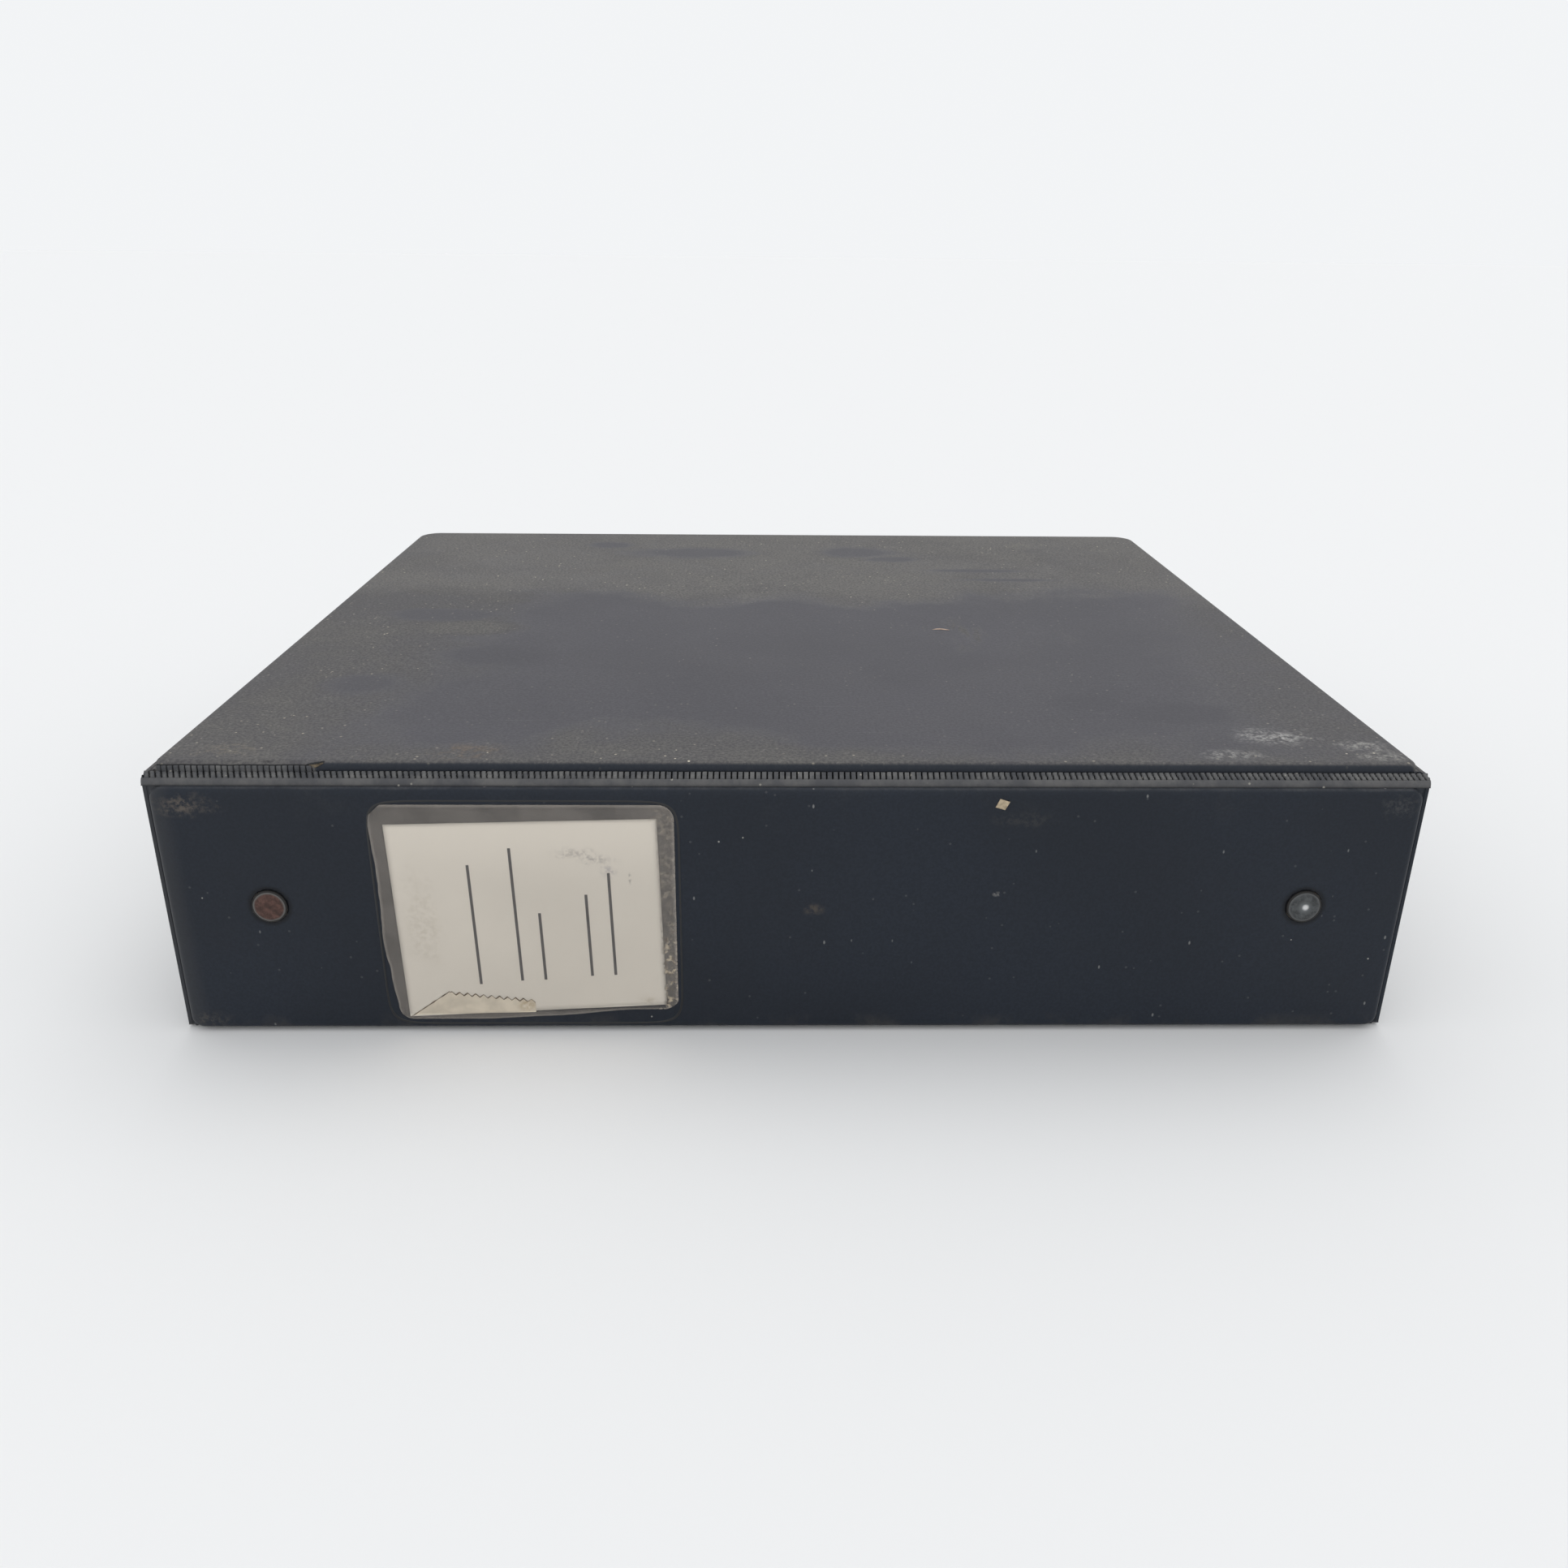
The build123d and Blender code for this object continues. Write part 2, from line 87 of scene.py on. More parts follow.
class BinderSizes(bpy.types.PropertyGroup):
    height: length("Height", 0.2921, "Along the spine, over the welded rims")
    thickness: length("Thickness", 0.0685, "Over both covers")
    reach: length("Cover reach", 0.2604, "Spine face to the rim of the fore-edge")
    footprint_middle: length("Footprint middle", 0.129875, "Spine face to the middle of the footprint")
    rim: length("Rim", 0.0016, "Welded rim past the board")
    roll: length("Edge radius", 0.00165, "Vinyl rolled over the edge of the board")
    skin: length("Skin", 0.00045, "Outer vinyl")
    panel: length("Panel", 0.003, "Outer vinyl, board and liner")
    corner: length("Corner radius", 0.008, "Fore-edge corners of a cover")
    hinge_corner: length("Hinge corner radius", 0.003, "Panel corners beside a hinge")
    front_near: length("Front cover start", 0.0047, "Spine face to the front cover")
    back_near: length("Back cover start", 0.0063, "Spine face to the back cover")
    spine_low: length("Spine low edge", 0.0009, "Table to the spine's lower edge")
    spine_high: length("Spine high edge", 0.0638, "Table to the spine's upper edge")
    rib_pitch: length("Rib pitch", 0.00135, "Spacing of the ribs in the hinge weld")
    rib_depth: length("Rib depth", 0.0006, "Depth of the gaps between the ribs")
    torn_end: length("Torn lip end", -0.1077, "Where the worn stretch of the front cover's lip ends")
    rivet_x: length("Rivet place", 0.121, "Middle of the spine to a rivet")
    rivet_hole: length("Rivet hole", 0.00418, "Radius of the hole in the outer vinyl")
    rivet_face: length("Rivet face", 0.0039, "Radius of the crowned rivet face")
    columns: IntProperty(name="Columns", description="Cells along a panel", default=132, min=20, max=300)
    rows: IntProperty(name="Rows", description="Cells across a cover", default=112, min=20, max=300)


class BinderColours(bpy.types.PropertyGroup):
    vinyl: colour("Vinyl", (0.0132, 0.0178, 0.0268), "Clean outer vinyl")
    cover_vinyl: colour("Cover vinyl", (0.0635, 0.061, 0.0725), "Outer vinyl of the covers, chalked by age")
    dust: colour("Dust", (0.134, 0.128, 0.119), "Dry dust on the vinyl")
    liner: colour("Liner", (0.022, 0.026, 0.034), "Inner vinyl")
    film: colour("Film", (0.34, 0.305, 0.27), "Aged clear film")
    card: colour("Card", (0.73, 0.675, 0.59), "Label card")
    print_ink: colour("Print", (0.075, 0.072, 0.075), "Ruled lines on the card")
    tape: colour("Tape", (0.68, 0.60, 0.475), "Yellowed adhesive tape")
    rust: colour("Rust", (0.075, 0.032, 0.022), "Rusted rivet")
    steel: colour("Steel", (0.46, 0.46, 0.45), "Plated steel")
    floor: colour("Floor", (0.86, 0.86, 0.86), "Studio floor")


class BinderSettings(bpy.types.PropertyGroup):
    sizes: PointerProperty(type=BinderSizes)
    colours: PointerProperty(type=BinderColours)


def sizes():
    """Every length of the settings in millimetres."""
    group = bpy.context.scene.ring_binder.sizes
    return {name: getattr(group, name) * (1000 if prop.type == "FLOAT" else 1)
            for name, prop in group.bl_rna.properties.items() if prop.type in ("FLOAT", "INT")}


def tint(name):
    return tuple(getattr(bpy.context.scene.ring_binder.colours, name))


# ---- meshes ----

def row_matrix():
    """Binder millimetres to row-frame metres."""
    return Matrix.Scale(0.001, 4) @ Matrix.Translation((0, -sizes()["footprint_middle"], 0))


def row_point(x, y, z):
    return row_matrix() @ Vector((x, y, z))


def placed_grid(columns, rows, place):
    """A grid of cells whose corner (u, v), each from 0 to 1, goes to place(u, v)."""
    bm = bmesh.new()
    bmesh.ops.create_grid(bm, x_segments=columns, y_segments=rows, size=0.5)
    for v in bm.verts:
        v.co = place(v.co.x + 0.5, v.co.y + 0.5)
    return bm


def front_out(bm):
    """Turns a sheet on the spine so that it faces out of the binder."""
    bm.normal_update()
    bmesh.ops.reverse_faces(bm, faces=[f for f in bm.faces if f.normal.y > 0])
    return bm


def face_up(bm, up=True):
    """Turns a level sheet so that it faces up, or down."""
    bm.normal_update()
    if (bm.faces[:][0].normal.z > 0) != up:
        bmesh.ops.reverse_faces(bm, faces=bm.faces[:])
    return bm


def close_tube(bm):
    """Joins the seam of a rolled-up grid and fills its two ends."""
    bmesh.ops.remove_doubles(bm, verts=bm.verts, dist=0.001)
    bmesh.ops.holes_fill(bm, edges=[e for e in bm.edges if e.is_boundary], sides=0)
    bmesh.ops.recalc_face_normals(bm, faces=bm.faces)


def use_material(obj, material):
    obj.data.materials.clear()
    obj.data.materials.append(material)


def new_piece(name, bm, material, body, slot, *replaced, angle=35, thick=0):
    """Turns a mesh drawn in binder millimetres into a shaded piece that rides on a CAD body.

    A thick of more than 0 gives a sheet its thickness, in millimetres, behind its face.
    """
    bmesh.ops.remove_doubles(bm, verts=bm.verts, dist=0.001)
    bmesh.ops.dissolve_degenerate(bm, edges=bm.edges, dist=0.0005)
    bm.transform(row_matrix())
    mesh = bpy.data.meshes.new(name)
    bm.to_mesh(mesh)
    bm.free()
    if not mesh.polygons:
        raise RuntimeError(f"{name} has no faces")
    mesh.polygons.foreach_set("use_smooth", [True] * len(mesh.polygons))
    mesh.set_sharp_from_angle(angle=math.radians(angle))
    mesh.materials.append(material)
    obj = bpy.data.objects.new(name, mesh)
    bpy.context.scene.collection.objects.link(obj)
    if replaced:
        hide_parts(*replaced)
    if body:
        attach(obj, body)
    if thick:
        skin = obj.modifiers.new("Thickness", "SOLIDIFY")
        skin.thickness, skin.offset = thick / 1000, -1
    return obj


def smooth(value, low, high):
    t = min(max((value - low) / (high - low), 0), 1)
    return t * t * (3 - 2 * t)


def pressed(gap, place, width):
    """A welded line across gap: 1 in its middle, falling to 0 at both sides."""
    return math.exp(-((gap - place) / width) ** 2)


def ripple(x, y, scale, seed=0):
    """Smooth noise from -1 to 1; each seed is a layer of its own."""
    return noise.noise(Vector((x * scale, y * scale, seed * 7.31)))


def rounded(x, y, half_x, half_y, r):
    """Pulls a point of a rectangle into its round corner; also the share of the corner's radius it is out."""
    a, b = (abs(x) - half_x + r) / r, (abs(y) - half_y + r) / r
    if a <= 0 or b <= 0:
        return x, y, 0
    return (math.copysign(half_x - r + r * a * math.sqrt(1 - b * b / 2), x),
            math.copysign(half_y - r + r * b * math.sqrt(1 - a * a / 2), y), max(a, b))


def turned(x, z, degrees):
    """A point of the spine's plane, turned about its origin."""
    c, n = math.cos(math.radians(degrees)), math.sin(math.radians(degrees))
    return x * c - z * n, z * c + x * n


class Panel:
    """A panel laid flat: x along the spine, y across it, outer face at z = 0 and depth below it."""

    def __init__(self, low, high, hinge_sides, to_binder):
        s = sizes()
        self.s, self.low, self.high, self.hinges, self.to_binder = s, low, high, hinge_sides, to_binder
        self.half = s["height"] / 2 - s["rim"]

    def corner(self, side):
        return self.s["hinge_corner"] if side in self.hinges else self.s["corner"]

    def outline(self, grow, columns, rows, height):
        """A flat grid over the board's outline, grown or shrunk, with round corners."""
        middle = (self.low + self.high) / 2
        half_x = self.half + grow
        ends = {side: (self.high - middle if side > 0 else middle - self.low)
                + (min(grow, 0) if side in self.hinges else grow) for side in (-1, 1)}

        def spread(t):
            """From -1 to 1, with narrower cells near the ends."""
            t = 2 * t - 1
            return t * 1.44 - 0.44 * t ** 3

        def place(u, v):
            x, y = half_x * spread(u), spread(v)
            side = 1 if y > 0 else -1
            half_y = ends[side]
            y *= half_y
            x, y, _ = rounded(x, y, half_x, half_y, max(self.corner(side) + grow, 0.4))
            return Vector((x, middle + y, height(x, middle + y)))

        return placed_grid(columns, rows, place)

    def anchor(self, vert):
        """The way out of the board at a point of the flat outline."""
        roll = self.s["roll"]
        x, y = vert.co.x, vert.co.y
        side = 1 if y > (self.low + self.high) / 2 else -1
        r = self.corner(side) - roll
        end = (self.high - roll) if side > 0 else (self.low + roll)
        cx, cy = math.copysign(self.half - roll - r, x), end - side * r
        out = Vector((x - cx, y - cy))
        if abs(x) > abs(cx) + 1e-4 and out.y * side > 1e-4:
            return cx, cy, r, out.normalized(), side in self.hinges
        if abs(abs(x) - self.half + roll) < 1e-3:
            return x, y, 0, Vector((math.copysign(1, x), 0)), False
        return x, y, 0, Vector((0, side)), side in self.hinges

    def shell(self, dents, columns, rows):
        """Outer vinyl: face, rolled edge, wall and welded rim."""
        s, roll, rim = self.s, self.s["roll"], self.s["rim"]
        liner_skin = 0.35
        floor = -(s["panel"] - s["skin"] - liner_skin)
        bm = face_up(self.outline(-roll, columns, rows, lambda x, y: -dents(x, y)))
        turns = [math.radians(a) for a in range(11, 91, 11)]
        edge = [(roll * math.sin(a), -roll * (1 - math.cos(a))) for a in turns]
        wall = [(0, -roll - 0.2), (0.02, floor + 0.12)]
        weld = [(0.1, floor), (0.35, floor), (0.45, floor - 0.1), (0.6, floor - 0.1), (0.7, floor)]
        end = [(rim - 0.2, floor), (rim - 0.04, floor - 0.08), (rim, floor - 0.25), (rim, floor - s["skin"])]
        profile = edge + [(roll + out, depth) for out, depth in wall + weld + end]
        edges = [e for e in bm.edges if e.is_boundary]
        anchors = {v: self.anchor(v) for e in edges for v in e.verts}
        for out, depth in profile:
            made = bmesh.ops.extrude_edge_only(bm, edges=edges)["geom"]
            fresh = {}
            for vert in (g for g in made if isinstance(g, bmesh.types.BMVert)):
                old = next(e.other_vert(vert) for e in vert.link_edges if e.other_vert(vert) in anchors)
                fresh[vert] = anchors[old]
                cx, cy, r, way, at_hinge = fresh[vert]
                if out > roll and at_hinge and r > 0:
                    way = way / max(abs(way.x), abs(way.y))
                step = r + (roll if at_hinge and r == 0 and out > roll else out)
                vert.co = Vector((cx + way.x * step, cy + way.y * step, depth))
                if -1 in self.hinges:
                    vert.co.y = max(vert.co.y, self.low)
                if 1 in self.hinges:
                    vert.co.y = min(vert.co.y, self.high)
            anchors = fresh
            edges = [g for g in made if isinstance(g,
                                                   bmesh.types.BMEdge)
                                                   and all(v in anchors for v in g.verts)]
        return bm

    def sheet(self, depth, columns, rows, relief):
        """Inner vinyl: a sheet over the whole panel and its rim, facing the inside."""
        return face_up(self.outline(self.s["rim"], columns, rows, lambda x, y: -depth + relief(x, y)), False)

    def edge_distance(self, x, y):
        """From a point to the nearest edge of the rim."""
        rim = self.s["rim"]
        low = self.low - (0 if -1 in self.hinges else rim)
        high = self.high + (0 if 1 in self.hinges else rim)
        return min(self.half + rim - abs(x), y - low, high - y)


def panels():
    """The three panels of the binder by name."""
    s = sizes()
    edge = s["reach"] - s["rim"]
    return {
        "front": Panel(s["front_near"], edge, {-1}, Matrix.Translation((0, 0, s["thickness"]))),
        "back": Panel(s["back_near"], edge, {-1}, Matrix.Rotation(math.pi, 4, "Y")),
        "spine": Panel(s["spine_low"], s["spine_high"], {-1, 1}, Matrix.Rotation(math.pi / 2, 4, "X")),
    }


# ---- materials ----
# Spots are given in binder millimetres, steps along an axis in the row frame's metres.

class Graph:
    """A material's nodes, with sockets passed about as values."""

    def __init__(self, name):
        self.material = bpy.data.materials.new(name)
        self.material.use_nodes = True
        self.nodes, self.links = self.material.node_tree.nodes, self.material.node_tree.links
        self.shader = self.nodes["Principled BSDF"]
        self.place = self.nodes.new("ShaderNodeTexCoord").outputs["Object"]

    def put(self, socket, value):
        if isinstance(value, bpy.types.NodeSocket):
            self.links.new(value, socket)
        elif hasattr(socket.default_value, "__len__") and len(socket.default_value) == 4:
            socket.default_value = (*value[:3], 1)
        else:
            socket.default_value = value

    def math(self, operation, *values, clamp=False):
        node = self.nodes.new("ShaderNodeMath")
        node.operation, node.use_clamp = operation, clamp
        for socket, value in zip(node.inputs, values):
            self.put(socket, value)
        return node.outputs[0]

    def times(self, first, *others):
        for value in others:
            first = self.math("MULTIPLY", first, value)
        return first

    def plus(self, first, second):
        return self.math("ADD", first, second)

    def wander(self, value, wave, amount):
        """A value shifted to and fro by a wave of 0 to 1, by half the amount at most."""
        return self.plus(value, self.times(self.math("SUBTRACT", wave, 0.5), amount))

    def attribute(self, name):
        node = self.nodes.new("ShaderNodeAttribute")
        node.attribute_name = name
        return node.outputs["Fac"]

    def stretch(self, scale, turn=0):
        node = self.nodes.new("ShaderNodeMapping")
        self.put(node.inputs["Vector"], self.place)
        node.inputs["Scale"].default_value = scale
        node.inputs["Rotation"].default_value = (0, 0, turn)
        return node.outputs[0]

    def noise(self, scale, detail=3, rough=0.55, place=None, distortion=0):
        node = self.nodes.new("ShaderNodeTexNoise")
        self.put(node.inputs["Vector"], place or self.place)
        for key, value in (("Scale", scale), ("Detail", detail), ("Roughness", rough),
                           ("Distortion", distortion)):
            node.inputs[key].default_value = value
        return node.outputs["Fac"]

    def cells(self, scale, place=None):
        """Distance to the middle of the nearest cell, and that cell's random number."""
        node = self.nodes.new("ShaderNodeTexVoronoi")
        self.put(node.inputs["Vector"], place or self.place)
        node.inputs["Scale"].default_value = scale
        parts = self.nodes.new("ShaderNodeSeparateColor")
        self.put(parts.inputs[0], node.outputs["Color"])
        return node.outputs["Distance"], parts.outputs[0]

    def step(self, value, low, high, top=1.0, bottom=0.0):
        """Smooth step from bottom at low to top at high."""
        node = self.nodes.new("ShaderNodeMapRange")
        node.interpolation_type = "SMOOTHSTEP"
        for index, entry in enumerate((value, low, high, bottom, top)):
            self.put(node.inputs[index], entry)
        return node.outputs[0]

    def mix(self, amount, first, second):
        node = self.nodes.new("ShaderNodeMix")
        node.data_type = "RGBA"
        self.put(node.inputs["Factor"], amount)
        self.put(node.inputs[6], first)
        self.put(node.inputs[7], second)
        return node.outputs[2]

    def paint(self, colour, shade, *amounts):
        """A shade laid over a colour by the product of the amounts."""
        return self.mix(self.times(*amounts), colour, shade)

    def mottle(self, colour, dark, light, scale, low, high, rough=0.55):
        """A colour in broad patches from dark to light, both given as shares of it."""
        return self.mix(self.step(self.noise(scale, 4, rough), low, high), scaled(colour, dark),
                        scaled(colour, light))

    def axis(self, index):
        node = self.nodes.new("ShaderNodeSeparateXYZ")
        self.put(node.inputs[0], self.place)
        return node.outputs[index]

    def spot(self, centre, reach, soft=0.5, ragged=0.0, scale=60):
        """1 inside an ellipsoid, given in binder millimetres, easing to 0 at its edge."""
        node = self.nodes.new("ShaderNodeMapping")
        node.vector_type = "TEXTURE"
        self.put(node.inputs["Vector"], self.place)
        node.inputs["Location"].default_value = row_point(*centre)
        node.inputs["Scale"].default_value = [radius / 1000 for radius in reach]
        measure = self.nodes.new("ShaderNodeVectorMath")
        measure.operation = "LENGTH"
        self.put(measure.inputs[0], node.outputs[0])
        distance = measure.outputs["Value"]
        if ragged:
            distance = self.wander(distance, self.noise(scale, 4, 0.6), ragged * 2)
        return self.step(distance, 1.0, max(1.0 - soft, 0.0))

    def broken(self, mask, scale, low=0.42, high=0.62):
        """A mask broken up by fine noise, as rubbed or dusty patches are."""
        return self.times(mask, self.step(self.noise(scale, 6, 0.7), low, high))

    def bump(self, height, distance, strength):
        node = self.nodes.new("ShaderNodeBump")
        node.inputs["Strength"].default_value = strength
        node.inputs["Distance"].default_value = distance
        self.put(node.inputs["Height"], height)
        self.links.new(node.outputs[0], self.shader.inputs["Normal"])

    def finish(self, colour, roughness, metallic=0.0, specular=0.5, alpha=None):
        self.put(self.shader.inputs["Base Color"], colour)
        self.put(self.shader.inputs["Roughness"], roughness)
        self.shader.inputs["Metallic"].default_value = metallic
        self.shader.inputs["Specular IOR Level"].default_value = specular
        if alpha is not None:
            self.put(self.shader.inputs["Alpha"], alpha)
        return self.material


def scaled(colour, share):
    return tuple(min(c * share, 1) for c in colour)


def grain(g, strength=1.0):
    """Fine pebbled grain of calendered vinyl."""
    pebble, _ = g.cells(1500)
    fine = g.noise(2600, 2, 0.5)
    g.bump(g.plus(g.times(pebble, 0.6), g.times(fine, 0.5)), 0.00005 * strength, 0.6)


def specks(g, colour, scale, share, size, shade, amount):
    """Scattered flecks: one cell in so many holds a dot."""
    distance, pick = g.cells(scale)
    chosen = g.math("GREATER_THAN", pick, 1 - share)
    dot = g.times(g.step(distance, size, size * 0.5), chosen)
    return g.paint(colour, shade, dot, amount)


def scratches(g, colour, long, fine, turn, shade, threshold, amount):
    """Hairlines that run along one direction."""
    place = g.stretch((long, fine, long), turn=turn)
    line = g.step(g.noise(1, 3, 0.6, place), threshold, threshold + 0.05)
    patch = g.step(g.noise(22, 2), 0.48, 0.62)
    return g.paint(colour, shade, line, patch, amount)


def cover_vinyl(name, top):
    """Chalky vinyl of a cover: dusty at the back and sides, wiped cleaner in the middle."""
    g = Graph(name)
    dust, vinyl, lip_clean_and_shade = tint("dust"), tint("cover_vinyl"), tint("vinyl")
    base = g.mottle(vinyl, 0.93, 1.07, 14, 0.35, 0.68, 0.6)
    drift = g.times(g.math("SUBTRACT", g.noise(11, 5, 0.6), 0.5), 0.12)
    x, y = g.plus(g.axis(0), drift), g.plus(g.axis(1), drift)
    far = g.step(y, 0.012, 0.034)
    ends = g.math("MAXIMUM", g.step(x, -0.078, -0.112), g.step(x, 0.1, 0.15, 0.6))
    where = g.math("MAXIMUM", g.math("MAXIMUM", far, g.step(y, -0.098, -0.117)), ends)
    haze = g.step(g.noise(26, 6, 0.65, distortion=0.5), 0.3, 0.75)
    amount = g.plus(g.times(where, g.plus(g.times(haze, 0.5), 0.45)), g.times(haze, 0.1))
    marks = ()
    if top:
        def at(mx, my, wide, deep, soft, ragged, scale=60):
            """A spot on the cover's face, by its middle and its half width and depth."""
            return g.spot((mx, my, sizes()["thickness"]), (wide, deep, 100), soft, ragged, scale)

        wiped = at(-108, 131.7, 21, 10, 0.45, 0.3)
        for place in ((-34, 223, 34, 13), (30, 226, 20, 13), (42, 214, 14, 6), (72, 196, 24, 3.5),
                      (82, 182, 26, 3), (-66, 236, 12, 7), (-112, 62, 14, 12), (-84, 88, 20, 12),
                      (100, 40, 22, 12), (78, 48, 14, 9)):
            wiped = g.math("MAXIMUM", wiped, at(*place, 0.55, 0.35))
        rest = g.math("SUBTRACT", 1, g.times(wiped, 0.9))
        amount, where = g.times(amount, rest), g.times(where, rest)
        streak = g.step(g.noise(1, 4, 0.6, g.stretch((150, 26, 26), turn=0.6)), 0.52, 0.66)
        fingers = g.times(at(62, 112, 34, 24, 0.8, 0.3), streak)
        amount = g.math("MAXIMUM", amount, g.times(fingers, 0.75))
        # place, colour, strength, raggedness, scale of the ragged edge, scale of the wear inside
        marks = (((-75, 11.4, 13, 7), (0.155, 0.115, 0.08), 0.75, 0.4, 90, 240),
                 ((116.5, 23, 13, 8), (0.46, 0.45, 0.43), 0.85, 0.5, 170, 520),
                 ((136, 16.5, 9, 6), (0.40, 0.39, 0.36), 0.7, 0.5, 190, 520),
                 ((138, 9.5, 9, 4), (0.40, 0.39, 0.36), 0.7, 0.5, 190, 520),
                 ((102.5, 10.5, 11, 4.5), (0.36, 0.35, 0.33), 0.75, 0.5, 190, 520),
                 ((96, 240, 12, 8), (0.2, 0.19, 0.16), 0.6, 0.5, 120, 420),
                 ((-130, 12, 12, 7), (0.2, 0.175, 0.14), 0.6, 0.5, 150, 420),
                 ((-118.6, 5.5, 1.6, 0.5), (0.004, 0.004, 0.005), 0.95, 0.3, 400, 90))
        patch = at(-97, 117, 24, 14, 0.7, 0.35)
        amount = g.math("MAXIMUM", amount, g.times(patch, rest, 0.95))
        base = g.paint(base, scaled(vinyl, 0.84), wiped, 0.6)
    colour_out = g.mix(amount, base, dust)
    heavy = g.times(far, g.step(g.noise(19, 5, 0.65, distortion=0.6), 0.28, 0.6, 1.0, 0.35),
                    rest if top else 1)
    colour_out = g.paint(colour_out, scaled(dust, 1.3), heavy, 0.6)
    cloud = g.times(g.step(g.noise(60, 6, 0.75, distortion=0.4), 0.52, 0.72), where)
    colour_out = g.paint(colour_out, scaled(dust, 1.5), g.broken(cloud, 700), 0.5)
    for place, shade, strength, ragged, scale, fine in marks:
        colour_out = g.paint(colour_out, shade, g.broken(at(*place, 0.9, ragged, scale), fine), strength)
    colour_out = scratches(g, colour_out, 16, 700, 0.5, (0.15, 0.15, 0.15), 0.66, 0.3)
    colour_out = g.mix(g.step(g.noise(1300, 3), 0.38, 0.62, 0.5), colour_out, scaled(vinyl, 0.6))
    dusty = g.plus(g.times(where, 0.75), 0.25)
    crowd = g.step(g.noise(40, 5, 0.7), 0.35, 0.7)
    colour_out = specks(g, colour_out, 620, 0.14, 0.26, (0.5, 0.45, 0.36), g.times(dusty, crowd, 0.85))
    colour_out = specks(g, colour_out, 300, 0.05, 0.11, (0.68, 0.62, 0.5), g.times(dusty, 0.9))
    colour_out = g.paint(colour_out, scaled(dust, 1.7), g.step(g.noise(900, 5, 0.75), 0.56, 0.7), dusty, 0.5)
    # The rolled lip along the cover's spine edge is painted in clean dark vinyl: free of dust there, and
    # partly painted shade of the roll.
    lip = g.step(g.axis(1), row_point(0, 5.6, 0).y, row_point(0, 4.95, 0).y)
    if top:
        torn_end = row_point(sizes()["torn_end"], 0, 0).x
        lip = g.times(lip, g.step(g.axis(0), torn_end - 0.0004, torn_end + 0.0004))
    colour_out = g.paint(colour_out, lip_clean_and_shade, lip, 0.92)
    rough = g.step(amount, 0.1, 0.8, 0.8, 0.58)
    grain(g)
    return g.finish(colour_out, rough, specular=0.32)


def spine_vinyl():
    """Darker vinyl of the spine, with specks, a top edge partly worn and partly painted highlight, painted
    highlight at its left end and painted shade round the rivet holes.
    """
    g = Graph("spine_vinyl")
    vinyl = tint("vinyl")
    base = g.mottle(vinyl, 0.88, 1.14, 20, 0.35, 0.7)
    z, x = g.axis(2), g.axis(0)
    edge = g.wander(z, g.noise(120, 4, 0.7), 0.0012)
    # Lighter band on the rolled top edge: partly wear, partly painted highlight.
    top = g.times(g.step(edge, 0.0634, 0.0639), g.step(g.noise(90, 4, 0.7), 0.1, 0.45))
    colour_out = g.paint(base, (0.085, 0.086, 0.092), top, 0.4)
    smear = g.broken(g.step(z, 0.052, 0.064), 60, 0.5, 0.75)
    colour_out = g.paint(colour_out, (0.035, 0.037, 0.04), smear, 0.35)
    colour_out = g.mix(g.step(g.noise(1500, 2), 0.35, 0.65, 0.3), colour_out, scaled(vinyl, 0.5))
    middle = sizes()["thickness"] / 2
    for side in (-1, 1):
        # A near-black ring round each rivet hole: painted shade where the vinyl dips into the hole.
        ring = g.spot((side * sizes()["rivet_x"], 0, middle), (5.6, 50, 5.6), 0.2, 0.05, 300)
        colour_out = g.paint(colour_out, (0.003, 0.0035, 0.005), ring, 0.75)
    # Lighter towards the spine's left end: painted highlight along its rolled edge.
    left = g.step(x, -0.138, -0.1445)
    colour_out = g.paint(colour_out, (0.05, 0.05, 0.052), left, 0.5)
    low = g.times(g.step(z, 0.006, 0.002), g.step(g.noise(70, 4, 0.7), 0.45, 0.7))
    colour_out = g.paint(colour_out, (0.06, 0.055, 0.05), low, 0.4)
    for centre, reach, shade, strength, ragged in (
            ((-137, 0, 59.5), (9, 10, 3.5), (0.15, 0.125, 0.10), 0.6, 0.7),
            ((5.5, 0, 33.5), (3.5, 10, 2.2), (0.085, 0.07, 0.055), 0.6, 0.5),
            ((48, 0, 37.5), (1.4, 10, 0.9), (0.32, 0.31, 0.29), 0.7, 0.6),
            ((52, 0, 56.5), (10, 10, 3), (0.04, 0.04, 0.04), 0.5, 0.6),
            ((-139, 0, 3), (6, 10, 4), (0.09, 0.08, 0.07), 0.5, 0.6),
            ((139, 0, 60), (6, 10, 4), (0.07, 0.07, 0.07), 0.5, 0.6)):
        patch = g.broken(g.spot(centre, reach, 0.9, ragged, 220), 600)
        colour_out = g.paint(colour_out, shade, patch, strength)
    cluster = g.math("MAXIMUM", g.spot((26, 0, 46), (42, 50, 30), 0.8), 0.3)
    distance, pick = g.cells(620, g.stretch((1, 1, 0.5)))
    dot = g.times(g.step(distance, 0.2, 0.08), g.math("GREATER_THAN", pick, 0.972), cluster)
    colour_out = g.paint(colour_out, (0.5, 0.5, 0.48), dot, 0.9)
    colour_out = scratches(g, colour_out, 30, 900, 1.2, (0.10, 0.10, 0.10), 0.74, 0.25)
    colour_out = specks(g, colour_out, 360, 0.02, 0.1, (0.4, 0.39, 0.36), 0.7)
    colour_out = specks(g, colour_out, 520, 0.06, 0.2, (0.12, 0.12, 0.12), g.plus(g.times(top, 0.6), 0.25))
    rough = g.step(g.noise(40, 4), 0.3, 0.7, 0.58, 0.47)
    grain(g)
    return g.finish(colour_out, rough, specular=0.24)


